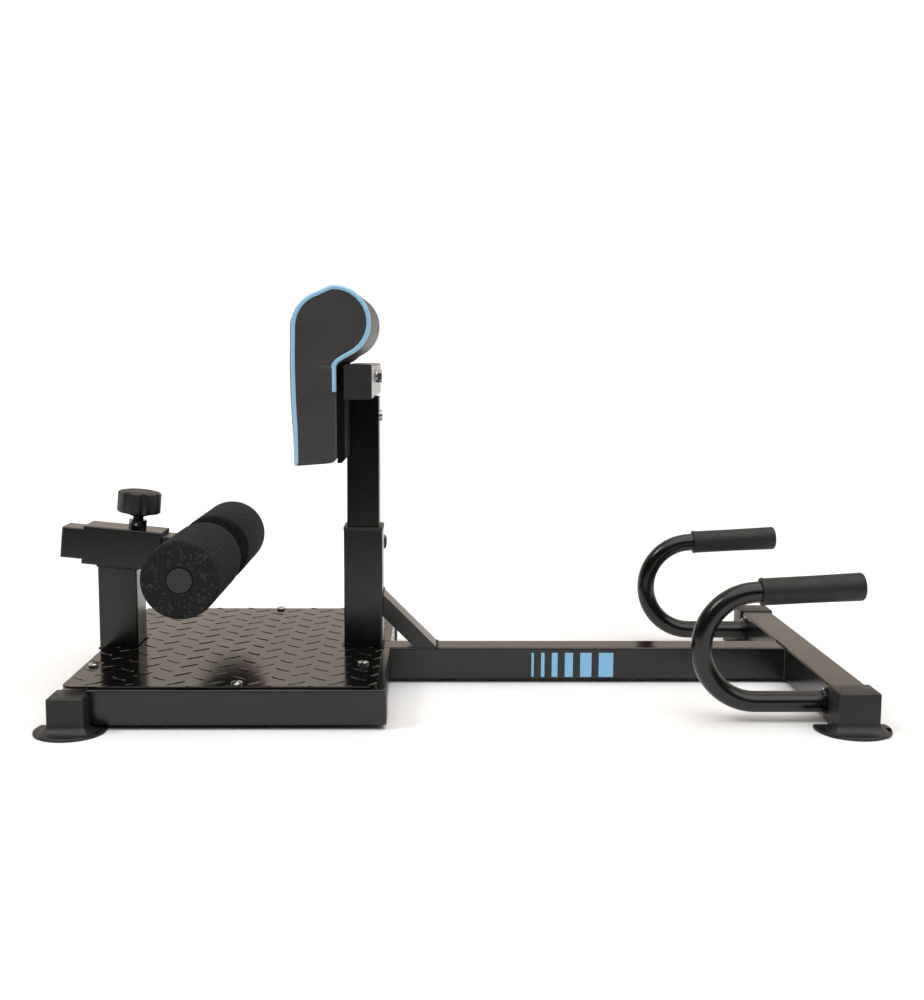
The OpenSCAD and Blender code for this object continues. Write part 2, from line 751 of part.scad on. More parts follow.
// plywood board behind the pad, grooved for the upper post
module pad_board() {
    chamfer = 5;
    profile = [[board_front_x, board_low], [board_front_x + board_t - chamfer, board_low],
               [board_front_x + board_t, board_low + chamfer], [board_front_x + board_t, board_top],
               [board_front_x, board_top]];
    color([0.12, 0.1, 0.09]) difference() {
        translate([0, board_w / 2, 0]) rotate([90, 0, 0]) linear_extrude(board_w) polygon(profile);
        translate([post_x - upper_tube / 2 - soft_gap, -upper_tube / 2 - soft_gap, board_low - overlap])
            cube([upper_tube, upper_tube + 2 * soft_gap, bar_low + soft_gap - board_low + overlap]);
        for (z = [post_bolt_z, bar_bolt_z]) translate([board_front_x - overlap, 0, z])
            round_bar_x(board_t + 2 * overlap, insert_d);
    }
}

// side profile of the pad, X and Z, from its lower back corner round the rolled head
module pad_profile() {
    back_x = board_front_x - soft_gap;
    head_x = back_x - 2.2;
    head_z = pad_top - pad_head_r;
    crown_x = back_x - pad_mid_t + pad_head_r;
    neck_z = board_top + 4;
    back_r = 8;
    front_r = 5;
    slant = 4;
    front = [for (i = [1 : 7]) let (t = i / 8)
        [back_x - pad_foot_t + (pad_foot_t - pad_mid_t) * sin(90 * t) - 1.5 * sin(180 * t),
         pad_low + front_r + (head_z - 14 - pad_low - front_r) * t]];
    polygon(concat(
        arc(back_x - back_r, pad_low + slant + back_r, back_r, 0, -90, 6),
        arc(back_x - pad_foot_t + front_r, pad_low + front_r, front_r, -90, -180, 6),
        front,
        arc(crown_x, head_z - 8, pad_head_r, 180, 112, 12),
        arc(head_x, head_z, pad_head_r, 96, -62, 26),
        [[back_x + 12, neck_z + 7.5], [back_x + 3.5, neck_z + 2], [back_x, neck_z - 3]]));
}

module back_pad() {
    color([0.22, 0.22, 0.22]) translate([0, pad_w / 2, 0]) rotate([90, 0, 0])
        linear_extrude(pad_w) pad_profile();
}

// hexagon bolt with a washer, through the pad cross bar into the board
module bar_bolt() {
    color("dimgray") {
        translate([post_x + bar_t / 2, 0, bar_bolt_z]) round_bar_x(washer_t, washer_d);
        translate([post_x + bar_t / 2 + washer_t, 0, bar_bolt_z]) rotate([0, 90, 0])
            hexagon(bolt_head_af, bolt_head_h);
        translate([board_front_x + 1, 0, bar_bolt_z])
            round_bar_x(board_t + bar_t + washer_t, bolt_d);
    }
}

// button-head bolt through the upper post into the board
module post_bolt() {
    color("dimgray") {
        translate([post_x + upper_tube / 2, 0, post_bolt_z]) round_bar_x(button_h, button_d);
        translate([board_front_x + 1, 0, post_bolt_z])
            round_bar_x(post_x + upper_tube / 2 + 1 - board_front_x, bolt_d);
    }
}

// threaded inserts in the board, round both bolts
module bolt_inserts() {
    depth = [board_t, board_t - board_groove];
    place = [bar_bolt_z, post_bolt_z];
    color("gold") for (i = [0, 1]) translate([board_front_x, 0, place[i]]) difference() {
        round_bar_x(depth[i], insert_d);
        translate([-overlap, 0, 0]) round_bar_x(depth[i] + 2 * overlap, bolt_d);
    }
}

// ---- foot slider body ----

module slider_tube() {
    len = slider_tail + slider_nose + slider_lap - 2 * plug_t;
    color(black) on_slider() difference() {
        translate([-slider_tail + plug_t, 0, 0])
            tube_x(len, slider_tube_side, slider_tube_side, tube_wall);
        for (step = [-1 : 3]) translate([slider_pin_s - step * slider_pitch, 0, 0])
            cylinder(h = slider_tube_side, d = hole_d);
        translate([slider_nose, 0, 0]) round_bar_y(2 * slider_tube_side, roller_bar_d);
    }
}

module slider_plugs() {
    color(rubber) on_slider() {
        translate([-slider_tail + plug_t, 0, 0]) plug_x(slider_tube_side, slider_tube_side, tube_wall);
        translate([slider_nose + slider_lap, 0, 0]) rotate([0, 0, 180]) translate([plug_t, 0, 0])
            nose_plug();
    }
}

// shallow plug for the end that the roller bar passes close to
module nose_plug() {
    inner = slider_tube_side - 2 * tube_wall - slide_gap;
    translate([-plug_t, 0, 0]) rotate([90, 0, 90])
        linear_extrude(plug_t) round_rect(slider_tube_side, slider_tube_side, tube_corner);
    rotate([90, 0, 90]) linear_extrude(slider_lap - roller_bar_d / 2 - plug_t - 2)
        tube_outline(inner, inner, plug_t, 1);
}

module roller_bar() {
    color("silver") on_slider() translate([slider_nose, 0, 0]) difference() {
        round_bar_y(2 * roller_bar_half, roller_bar_d);
        round_bar_y(2 * roller_bar_half + 2 * overlap, roller_bar_d - 2 * tube_wall);
    }
}

// collars on the bar, between the slider tube and each roller
module roller_stops() {
    width = (roller_gap - slider_tube_side) / 2 - 0.5;
    color(black) on_slider() translate([slider_nose, 0, 0]) for (s = [-1, 1])
        translate([0, s * (slider_tube_side + width) / 2, 0]) difference() {
            round_bar_y(width, roller_bar_d + 8);
            round_bar_y(width + 2 * overlap, roller_bar_d);
        }
}

// caps pressed into the bar's ends, which hold the rollers on
module roller_end_caps() {
    stem = 18;
    color(rubber) on_slider() translate([slider_nose, 0, 0]) for (s = [-1, 1]) {
        translate([0, s * (roller_span - roller_cap_t) / 2, 0]) round_bar_y(roller_cap_t, roller_cap_d);
        translate([0, s * (roller_bar_half - stem / 2), 0])
            round_bar_y(stem, roller_bar_d - 2 * tube_wall);
    }
}

roller_len = (roller_span - roller_gap) / 2;
module roller_core(side) {
    bore = roller_bar_d + 2 * roller_play;
    core_len = roller_len - roller_cap_t - 0.5;
    color("dimgray") on_slider()
        translate([slider_nose, side * (roller_gap + core_len) / 2, 0]) difference() {
            round_bar_y(core_len, bore + 2 * roller_core_t);
            round_bar_y(core_len + 2 * overlap, bore);
        }
}

// foam roller with a shallow seat for the end cap
module foam_roller(side) {
    bore = roller_bar_d + 2 * roller_play + 2 * roller_core_t;
    edge = 5;
    half = roller_len / 2;
    seat = roller_cap_t + 0.5;
    section = concat([[bore / 2, -half], [roller_d / 2 - edge, -half]],
        arc(roller_d / 2 - edge, -half + edge, edge, -90, 0, 6),
        arc(roller_d / 2 - edge, half - edge, edge, 0, 90, 6),
        [[roller_cap_d / 2 + 1, half], [roller_cap_d / 2 + 1, half - seat], [bore / 2, half - seat]]);
    color(rubber) on_slider() translate([slider_nose, side * (roller_gap / 2 + half), 0])
        rotate([-90 * side, 0, 0]) rotate_extrude($fn = fine) polygon(section);
}

module roller_core_near() { roller_core(-1); }
module roller_core_far() { roller_core(1); }
module foam_roller_near() { foam_roller(-1); }
module foam_roller_far() { foam_roller(1); }

// ---- push-up handles ----

bend_x = handle_tube_inner_x - handle_leg_len;
bend_z = handle_leg_z + handle_bend_r;
grip_end_t = 4;
grip_end_gap = 1;
upper_leg_len = grip_start + grip_len - grip_end_t - 2 * grip_end_gap;
bend_rings = 16;
tube_sides = 24;
// widest round plug that fits between the flats of the swept tube's bore
handle_bore = (handle_d - 2 * tube_wall) * cos(180 / tube_sides) - slide_gap;
// places its children at the start of the upper leg, X along the leg
module on_grip(side) {
    translate([bend_x, side * handle_y, bend_z]) rotate([0, -handle_rise, 0])
        translate([0, 0, handle_bend_r]) children();
}

// the handle's centre line in the handle's own plane, from the bend's middle: each
// entry is X, Z and the heading, from the socket round the bend to the grip's end
function handle_line() = concat(
    [[handle_leg_len - 1, -handle_bend_r, 180]],
    [for (i = [0 : bend_rings]) let (a = 270 - (180 - handle_rise) * i / bend_rings)
        [handle_bend_r * cos(a), handle_bend_r * sin(a), a - 90]],
    [[-handle_bend_r * sin(handle_rise) + upper_leg_len * cos(handle_rise),
      handle_bend_r * cos(handle_rise) + upper_leg_len * sin(handle_rise), handle_rise]]);

// ring of points round one entry of a centre line
function ring(at, r) = [for (j = [0 : tube_sides - 1]) let (t = 360 * j / tube_sides)
    [at[0] - r * cos(t) * sin(at[2]), r * sin(t), at[1] + r * cos(t) * cos(at[2])]];

// bent tube swept along a centre line: the outer rings come first, then the inner ones
module swept_tube(line, r_out, r_in) {
    n = len(line);
    m = tube_sides;
    points = concat([for (at = line) each ring(at, r_out)], [for (at = line) each ring(at, r_in)]);
    outer = [for (i = [0 : n - 2], j = [0 : m - 1]) let (k = (j + 1) % m)
        [i * m + j, i * m + k, (i + 1) * m + k, (i + 1) * m + j]];
    inner = [for (i = [n : 2 * n - 2], j = [0 : m - 1]) let (k = (j + 1) % m)
        [i * m + j, (i + 1) * m + j, (i + 1) * m + k, i * m + k]];
    first = [for (j = [0 : m - 1]) let (k = (j + 1) % m) [j, n * m + j, n * m + k, k]];
    last = [for (j = [0 : m - 1]) let (k = (j + 1) % m)
        [(n - 1) * m + j, (n - 1) * m + k, (2 * n - 1) * m + k, (2 * n - 1) * m + j]];
    polyhedron(points, concat(outer, inner, first, last));
}

// bent tube: lower leg, half-turn bend and upper leg
module handle(side) {
    color(black) translate([bend_x, side * handle_y, bend_z])
        swept_tube(handle_line(), handle_d / 2, handle_d / 2 - tube_wall);
}
module handle_near() { handle(-1); }
module handle_far() { handle(1); }

// rubber grip, closed at its free end and ribbed round its mouth and its end
module grip(side) {
    rib = 6;
    color(rubber) on_grip(side) translate([grip_start, 0, 0]) difference() {
        union() {
            round_bar_x(grip_len, grip_d - 1.6);
            round_bar_x(rib, grip_d);
            translate([grip_len - rib, 0, 0]) round_bar_x(rib, grip_d);
            translate([rib + 3, 0, 0]) round_bar_x(grip_len - 2 * rib - 6, grip_d);
        }
        translate([-overlap, 0, 0]) round_bar_x(grip_len - grip_end_t + overlap, handle_d);
    }
}
module grip_near() { grip(-1); }
module grip_far() { grip(1); }

// plastic plugs in the handle tubes, behind the grips' closed ends
module handle_plugs() {
    color(rubber) for (s = [-1, 1]) on_grip(s)
        translate([upper_leg_len - plug_depth, 0, 0])
            round_bar_x(plug_depth + grip_end_gap, handle_bore);
}

// sockets welded to the cross tube, which hold the handles' lower legs
module handle_sockets() {
    color(black) for (s = [-1, 1])
        translate([handle_tube_inner_x - socket_len, s * handle_y, handle_leg_z]) difference() {
            round_bar_x(socket_len, handle_d + 2 * socket_t);
            translate([-overlap, 0, 0]) round_bar_x(socket_len + 2 * overlap, handle_d);
            translate([socket_len / 2, 0, 0]) cylinder(h = handle_d, d = 3.5);
        }
}

// set screws that hold each leg in its socket
module handle_bolts() {
    color("silver") for (s = [-1, 1])
        translate([handle_tube_inner_x - socket_len / 2, s * handle_y, handle_leg_z]) {
            translate([0, 0, handle_d / 2]) cylinder(h = socket_t + 1, d = 3.5);
            translate([0, 0, handle_d / 2 + socket_t]) cylinder(h = 2.5, d = 5.5);
        }
}

main_beam();
foot_cross_tube();
handle_cross_tube();
side_rail_near();
side_rail_far();
post_cross_rails();
rail_plugs();
foot_post_packing();
foot_post();
post_sleeve();
post_guide();
brace();
tread_plate();
plate_spacers();
plate_screws();
plate_nuts();
beam_bars();
foot_cap_a();
foot_cap_b();
foot_cap_c();
foot_cap_d();
slider_sleeve();
slider_guides();
height_nut();
nut_set_screws();
height_barrel();
height_pin();
height_spring();
height_knob();
slider_nut();
slider_barrel();
slider_pin();
slider_spring();
slider_knob();
upper_post();
post_glide();
pad_bar();
bar_plugs();
pad_board();
back_pad();
bar_bolt();
post_bolt();
bolt_inserts();
slider_tube();
slider_plugs();
roller_bar();
roller_stops();
roller_end_caps();
roller_core_near();
foam_roller_near();
roller_core_far();
foam_roller_far();
handle_near();
handle_far();
grip_near();
grip_far();
handle_sockets();
handle_bolts();
handle_plugs();
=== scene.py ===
"""Roman chair: its finishes, soft parts and moulded parts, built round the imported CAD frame.

Lengths in metres. +X runs towards the push-up handles, +Y away from the near side, +Z up.
"""

import math

import bpy
from mathutils import Matrix, Vector


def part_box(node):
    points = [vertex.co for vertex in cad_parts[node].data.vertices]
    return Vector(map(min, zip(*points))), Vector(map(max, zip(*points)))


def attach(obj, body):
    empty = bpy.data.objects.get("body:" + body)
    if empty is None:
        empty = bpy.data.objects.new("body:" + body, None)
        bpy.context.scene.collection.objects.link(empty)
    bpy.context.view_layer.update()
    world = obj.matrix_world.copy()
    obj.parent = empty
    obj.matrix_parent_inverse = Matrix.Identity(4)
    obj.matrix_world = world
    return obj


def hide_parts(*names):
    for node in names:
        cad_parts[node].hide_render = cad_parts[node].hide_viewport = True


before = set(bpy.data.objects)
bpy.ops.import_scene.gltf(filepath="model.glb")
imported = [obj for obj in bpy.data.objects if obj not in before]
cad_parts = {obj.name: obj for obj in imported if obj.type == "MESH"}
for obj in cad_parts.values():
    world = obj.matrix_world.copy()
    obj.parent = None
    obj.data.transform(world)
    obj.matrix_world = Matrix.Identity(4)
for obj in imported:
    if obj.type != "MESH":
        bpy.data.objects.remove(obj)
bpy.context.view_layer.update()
bpy.ops.object.select_all(action="DESELECT")

# ---- Steel tubes ----
# Square and round steel tube, welded and powder coated in gloss black. The coat flows in
# the oven to a faint orange peel, and its gloss varies a little from place to place.
COAT_BLACK = "#0d0d0c"
PEEL_SIZE = 0.003
PEEL_HEIGHT = 0.00006
HAZE_SIZE = 0.08


def linear(code):
    """Scene-linear colour with alpha, from an sRGB hex code."""
    parts = [int(code[i : i + 2], 16) / 255 for i in (1, 3, 5)]
    return [c / 12.92 if c <= 0.04045 else ((c + 0.055) / 1.055) ** 2.4 for c in parts] + [1]


def add_node(tree, kind, settings, links):
    """Adds a node, sets its properties and sockets, and links its inputs to other nodes."""
    node = tree.nodes.new(kind)
    for name, value in settings.items():
        if isinstance(name, str) and hasattr(node, name):
            setattr(node, name, value)
    for name, value in settings.items():
        if not (isinstance(name, str) and hasattr(node, name)):
            node.inputs[name].default_value = value
    for name, source in links.items():
        tree.links.new(source, node.inputs[name])
    return node


def start_material(name, settings):
    """A material with these shader settings, and the coordinates that its patterns read."""
    material = bpy.data.materials.new(name)
    material.use_nodes = True
    tree = material.node_tree
    shader = tree.nodes["Principled BSDF"]
    for socket, value in settings.items():
        shader.inputs[socket].default_value = value
    place = tree.nodes.new("ShaderNodeTexCoord").outputs["Object"]
    return material, tree, shader, place


def vary_roughness(tree, shader, place, patch, smoothest, roughest):
    """Lets the roughness drift between two values, over patches of this size."""
    noise = add_node(tree, "ShaderNodeTexNoise", {"Scale": 1 / patch, "Detail": 4}, {"Vector": place})
    drift = add_node(
        tree,
        "ShaderNodeMapRange",
        {"From Min": 0.3, "From Max": 0.7, "To Min": smoothest, "To Max": roughest},
        {"Value": noise.outputs["Fac"]},
    )
    tree.links.new(drift.outputs["Result"], shader.inputs["Roughness"])


def raise_surface(tree, shader, pattern, height, strength=1.0):
    """Raises the surface by a pattern, by this height where the pattern is 1."""
    bump = add_node(tree, "ShaderNodeBump", {"Strength": strength, "Distance": height}, {"Height": pattern})
    tree.links.new(bump.outputs["Normal"], shader.inputs["Normal"])


def coat_node(names, material):
    """Gives CAD nodes their finish."""
    for name in names:
        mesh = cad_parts[name].data
        mesh.materials.clear()
        mesh.materials.append(material)


powder_coat, tree, shader, place = start_material(
    "Gloss black powder coat", {"Base Color": linear(COAT_BLACK), "IOR": 1.5}
)
vary_roughness(tree, shader, place, HAZE_SIZE, 0.17, 0.26)
peel = add_node(tree, "ShaderNodeTexNoise", {"Scale": 1 / PEEL_SIZE, "Detail": 1}, {"Vector": place})
raise_surface(tree, shader, peel.outputs["Fac"], PEEL_HEIGHT)

TUBES = [
    "main_beam", "foot_cross_tube", "handle_cross_tube", "side_rail_near", "side_rail_far",
    "post_cross_rails", "foot_post_packing", "foot_post", "post_sleeve", "brace",
    "slider_sleeve", "height_nut", "slider_nut", "upper_post", "pad_bar", "slider_tube",
    "roller_stops", "handle_sockets",
]
coat_node(TUBES, powder_coat)

# ---- Welds ----
# Robot-laid MIG welds where tubes and nuts meet, coated with the frame. Each bead is a row
# of overlapping ripples.
WELD_WIDTH = 0.0045
WELD_PITCH = 0.0024
RIPPLE_SHAPE = (0.75, 1, 1)
BRACE_WELD = 0.030
SLIDER_TILT = math.radians(5.5)

post_low, post_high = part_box("post_sleeve")
beam_low, beam_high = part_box("main_beam")
stand_low, stand_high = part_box("foot_post")
crossbar_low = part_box("handle_cross_tube")[0]
brace_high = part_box("brace")[1]
half_beam = beam_high.y
sleeve_low, sleeve_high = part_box("slider_sleeve")
sleeve_middle = (sleeve_low + sleeve_high) / 2
half_sleeve = (post_high.x - post_low.x) / 2
slide_way = Vector((math.cos(SLIDER_TILT), 0, -math.sin(SLIDER_TILT)))
slide_up = Vector((math.sin(SLIDER_TILT), 0, math.cos(SLIDER_TILT)))


def place_mesh():
    """Moves the active piece's place, turn and size into its mesh."""
    bpy.ops.object.transform_apply(location=True, rotation=True, scale=True)
    return bpy.context.object


def apply_modifier(piece, kind, **settings):
    """Adds a modifier to a piece with these settings, and applies it."""
    bpy.ops.object.select_all(action="DESELECT")
    piece.select_set(True)
    bpy.context.view_layer.objects.active = piece
    modifier = piece.modifiers.new(kind, kind)
    for name, value in settings.items():
        setattr(modifier, name, value)
    bpy.ops.object.modifier_apply(modifier=modifier.name)


def weld_bead(start, end):
    """A bead from one point to another."""
    run = Vector(end) - Vector(start)
    bpy.ops.mesh.primitive_uv_sphere_add(segments=8, ring_count=5, radius=WELD_WIDTH / 2)
    ripple = bpy.context.object
    ripple.scale = RIPPLE_SHAPE
    place_mesh()
    apply_modifier(
        ripple,
        "ARRAY",
        use_relative_offset=False,
        use_constant_offset=True,
        constant_offset_displace=(WELD_PITCH, 0, 0),
        count=max(2, round(run.length / WELD_PITCH)),
    )
    ripple.location = start
    ripple.rotation_euler = run.to_track_quat("X", "Z").to_euler()
    return place_mesh()


def join_pieces(name, pieces):
    """Joins pieces into one."""
    bpy.ops.object.select_all(action="DESELECT")
    for piece in pieces:
        piece.select_set(True)
    bpy.context.view_layer.objects.active = pieces[0]
    if len(pieces) > 1:
        bpy.ops.object.join()
    joined = bpy.context.object
    joined.name = name
    joined.data.name = name
    return joined


def fit(piece, body, slot, material, *replaced):
    """Finishes a piece: its material, the body it moves with and what it stands for. Its slot is not used."""
    piece.data.materials.clear()
    piece.data.materials.append(material)
    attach(piece, body)
    if replaced:
        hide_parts(*replaced)
    bpy.ops.object.select_all(action="DESELECT")


def ring_corners(low, high, z):
    """Corners of a box's outline at one height, in order, the first one again at the end."""
    corners = [(low.x, low.y), (high.x, low.y), (high.x, high.y), (low.x, high.y), (low.x, low.y)]
    return [(x, y, z) for x, y in corners]


seams = []
base = ring_corners(post_low, post_high, post_low.z)
seams += [(base[1], base[2]), (base[3], base[4])]
seams += [
    (
        (post_high.x, side * half_beam, brace_high.z),
        (post_high.x, side * half_beam, brace_high.z - BRACE_WELD),
    )
    for side in (-1, 1)
]
seams.append(((post_high.x, -half_beam, brace_high.z), (post_high.x, half_beam, brace_high.z)))
seams.append(((brace_high.x, -half_beam, beam_high.z), (brace_high.x, half_beam, beam_high.z)))
seams.append(((crossbar_low.x, -half_beam, beam_high.z), (crossbar_low.x, half_beam, beam_high.z)))
seams += [
    ((crossbar_low.x, side * half_beam, beam_low.z), (crossbar_low.x, side * half_beam, beam_high.z))
    for side in (-1, 1)
]
stand_foot = ring_corners(stand_low, stand_high, stand_low.z)
seams += [(stand_foot[i], stand_foot[i + 1]) for i in range(4)]
under_sleeve = sleeve_middle - half_sleeve * slide_up
stand_top = [
    (x, y, under_sleeve.z - (x - under_sleeve.x) * math.tan(SLIDER_TILT))
    for x, y, z in ring_corners(stand_low, stand_high, 0)
]
seams += [(stand_top[i], stand_top[i + 1]) for i in range(4)]
welds = join_pieces("frame_welds", [weld_bead(start, end) for start, end in seams])
bpy.ops.object.shade_smooth()
fit(welds, "base_frame", "black_powder_coat", powder_coat)

# ---- Tread plate ----
# Steel chequer plate cut from a larger sheet, so its raised bars are cut at the edges, the
# post notches and the holes. Coated with the frame, and a little smoother.
BAR_LENGTH = 0.031
BAR_WIDTH = 0.0080
BAR_RISE = 0.0009
BAR_PITCH_X = 0.056
BAR_PITCH_Y = 0.048
BAR_TURN = math.radians(40)
BAR_FROM_POST_EDGE = 0.055
BAR_OFF_MIDDLE = -0.0024
BAR_POINTS = 12
BAR_SUNK = 0.7
BAR_WALL = 1.4
BAR_CROWN = 0.3
BAR_SHOULDER = (0.93, 0.6, 1)
BAR_TIP = (0.85, 0.4, 1)
MERGE_GAP = 0.00001

plate_low, plate_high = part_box("tread_plate")

plate_coat, tree, shader, place = start_material(
    "Gloss black coated chequer plate", {"Base Color": linear(COAT_BLACK), "IOR": 1.5}
)
vary_roughness(tree, shader, place, HAZE_SIZE, 0.10, 0.18)
peel = add_node(tree, "ShaderNodeTexNoise", {"Scale": 1 / PEEL_SIZE, "Detail": 1}, {"Vector": place})
raise_surface(tree, shader, peel.outputs["Fac"], PEEL_HEIGHT)
coat_node(["tread_plate"], plate_coat)


def bar_field(turn, x, y):
    """A field of raised bars, all turned one way, that starts at one corner of the plate."""
    bpy.ops.mesh.primitive_circle_add(vertices=BAR_POINTS, radius=1, fill_type="NGON", enter_editmode=True)
    bpy.ops.transform.resize(value=(BAR_LENGTH / 2, BAR_WIDTH / 2, 1))
    bpy.ops.mesh.extrude_region_move(TRANSFORM_OT_translate={"value": (0, 0, BAR_RISE * BAR_WALL)})
    bpy.ops.transform.resize(value=BAR_SHOULDER)
    bpy.ops.mesh.extrude_region_move(TRANSFORM_OT_translate={"value": (0, 0, BAR_RISE * BAR_CROWN)})
    bpy.ops.transform.resize(value=BAR_TIP)
    bpy.ops.mesh.select_all(action="SELECT")
    bpy.ops.mesh.normals_make_consistent(inside=False)
    bpy.ops.object.mode_set(mode="OBJECT")
    bar = bpy.context.object
    bar.location = (x, y, plate_high.z - BAR_RISE * BAR_SUNK)
    bar.rotation_euler = (0, 0, turn)
    place_mesh()
    size = plate_high - plate_low
    for pitch, offset, length in (
        (BAR_PITCH_X, (BAR_PITCH_X, 0, 0), size.x),
        (BAR_PITCH_Y, (0, BAR_PITCH_Y, 0), size.y),
    ):
        apply_modifier(
            bar,
            "ARRAY",
            use_relative_offset=False,
            use_constant_offset=True,
            constant_offset_displace=offset,
            count=math.ceil(length / pitch) + 2,
        )
    return bar


def merged_copy(node, name):
    """A free copy of a CAD node with its doubled points merged."""
    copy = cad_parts[node].copy()
    copy.data = copy.data.copy()
    bpy.context.scene.collection.objects.link(copy)
    for key in list(copy.keys()):
        del copy[key]
    copy.parent = None
    copy.hide_render = copy.hide_viewport = False
    copy.name = name
    bpy.ops.object.select_all(action="DESELECT")
    copy.select_set(True)
    bpy.context.view_layer.objects.active = copy
    bpy.ops.object.mode_set(mode="EDIT")
    bpy.ops.mesh.select_all(action="SELECT")
    bpy.ops.mesh.remove_doubles(threshold=MERGE_GAP)
    bpy.ops.object.mode_set(mode="OBJECT")
    return copy


columns = math.ceil((plate_high.x - plate_low.x) / BAR_PITCH_X)
rows = math.ceil((plate_high.y - plate_low.y) / 2 / BAR_PITCH_Y)
first_x = plate_high.x - BAR_FROM_POST_EDGE - columns * BAR_PITCH_X
first_y = BAR_OFF_MIDDLE - rows * BAR_PITCH_Y
tread = join_pieces(
    "tread_bars",
    [
        bar_field(BAR_TURN, first_x, first_y),
        bar_field(-BAR_TURN, first_x + BAR_PITCH_X / 2, first_y + BAR_PITCH_Y / 2),
    ],
)
sheet_edge = merged_copy("tread_plate", "sheet_edge")
bpy.ops.object.mode_set(mode="EDIT")
bpy.ops.transform.resize(value=(1, 1, 3), center_override=((plate_low + plate_high) / 2)[:])
bpy.ops.object.mode_set(mode="OBJECT")
apply_modifier(tread, "BOOLEAN", operation="INTERSECT", object=sheet_edge, solver="EXACT")
bpy.data.objects.remove(sheet_edge)
bpy.ops.object.shade_smooth_by_angle(angle=math.radians(50))
fit(tread, "base_frame", "tread_coat", plate_coat)

# ---- Screws, bolts, nuts, spacers, springs and pins ----
# Zinc-plated and passivated steel: bright, a little blue, with fine turning marks and the
# slight cloudiness of the plating.
ZINC = "#c9cbcc"
CLOUD_SIZE = 0.004
TURNING_MARK = 0.0004

zinc, tree, shader, place = start_material(
    "Bright zinc-plated steel", {"Base Color": linear(ZINC), "Metallic": 1.0}
)
vary_roughness(tree, shader, place, CLOUD_SIZE, 0.18, 0.34)
marks = add_node(
    tree, "ShaderNodeTexNoise", {"Scale": 1 / TURNING_MARK, "Detail": 1}, {"Vector": place}
)
raise_surface(tree, shader, marks.outputs["Fac"], 0.00001, 0.5)
coat_node(
    [
        "plate_spacers", "plate_screws", "plate_nuts", "nut_set_screws", "bar_bolt",
        "post_bolt", "height_pin", "slider_pin", "height_spring", "slider_spring",
        "roller_bar", "handle_bolts",
    ],
    zinc,
)

# ---- Pin barrels and bolt inserts ----
# The barrels are turned steel with a black oxide finish, left slightly oily: a dark metal,
# dull but with soft highlights. The inserts in the pad's board are turned brass.
OXIDE = "#2b2b2d"
BRASS = "#b08d4c"

black_oxide, tree, shader, place = start_material(
    "Black oxide steel", {"Base Color": linear(OXIDE), "Metallic": 1.0}
)
vary_roughness(tree, shader, place, CLOUD_SIZE, 0.3, 0.45)
coat_node(["height_barrel", "slider_barrel"], black_oxide)
brass, tree, shader, place = start_material(
    "Turned brass", {"Base Color": linear(BRASS), "Metallic": 1.0}
)
vary_roughness(tree, shader, place, CLOUD_SIZE, 0.25, 0.4)
coat_node(["bolt_inserts"], brass)

# ---- Bars on the beam ----
# Six upright bars cut from light blue vinyl film, stuck on the beam: satin, with a faint
# unevenness where the film follows the coat under it.
FILM_BLUE = "#86c2e8"

blue_film, tree, shader, place = start_material(
    "Light blue vinyl film", {"Base Color": linear(FILM_BLUE), "IOR": 1.53}
)
vary_roughness(tree, shader, place, HAZE_SIZE / 8, 0.3, 0.4)
peel = add_node(tree, "ShaderNodeTexNoise", {"Scale": 1 / PEEL_SIZE, "Detail": 1}, {"Vector": place})
raise_surface(tree, shader, peel.outputs["Fac"], PEEL_HEIGHT / 2)
coat_node(["beam_bars"], blue_film)

# ---- Tube plugs, guides, glides and roller cores ----
# Injection-moulded black nylon with a fine spark-eroded grain, half matte.
NYLON_BLACK = "#272727"
NYLON_GRAIN = 0.0008

black_nylon, tree, shader, place = start_material(
    "Moulded black nylon", {"Base Color": linear(NYLON_BLACK), "IOR": 1.53}
)
vary_roughness(tree, shader, place, HAZE_SIZE / 4, 0.38, 0.5)
grain = add_node(tree, "ShaderNodeTexNoise", {"Scale": 1 / NYLON_GRAIN, "Detail": 2}, {"Vector": place})
raise_surface(tree, shader, grain.outputs["Fac"], 0.00003)
coat_node(
    [
        "rail_plugs", "post_guide", "slider_guides", "post_glide", "bar_plugs",
        "slider_plugs", "roller_end_caps", "handle_plugs", "roller_core_near",
        "roller_core_far",
    ],
    black_nylon,
)

# ---- Foot caps ----
# One-piece moulded rubber-like caps, pushed over the ends of the cross tubes. Each stands
# on a D-shaped flange that is round outwards, and flares into it in a hollow curve.
CAP_LENGTH = 0.050
CAP_WALL = 0.0032
CAP_ROOF = 0.0025
CAP_EDGE = 0.0028
FLANGE_OUT = 0.024
FLANGE_SIDE = 0.024
FLANGE_T = 0.004
FLARE = 0.015
FIT_GAP = 0.0003
CAP_BLACK = "#171717"
FLANGE_BACK = 0.85
FLANGE_EDGE = 0.0015
CAP_GRAIN = 0.0012

cap_rubber, tree, shader, place = start_material(
    "Moulded black rubber", {"Base Color": linear(CAP_BLACK), "IOR": 1.52}
)
vary_roughness(tree, shader, place, HAZE_SIZE / 4, 0.4, 0.52)
grain = add_node(tree, "ShaderNodeTexNoise", {"Scale": 1 / CAP_GRAIN, "Detail": 3}, {"Vector": place})
raise_surface(tree, shader, grain.outputs["Fac"], 0.00005)

rail_low, rail_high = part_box("side_rail_near")


def select_faces(piece, test):
    """Selects a piece's faces that pass a test."""
    bpy.context.tool_settings.mesh_select_mode = (False, False, True)
    bpy.ops.object.mode_set(mode="EDIT")
    bpy.ops.mesh.select_all(action="DESELECT")
    bpy.ops.object.mode_set(mode="OBJECT")
    for face in piece.data.polygons:
        face.select = test(face)
    bpy.ops.object.mode_set(mode="EDIT")


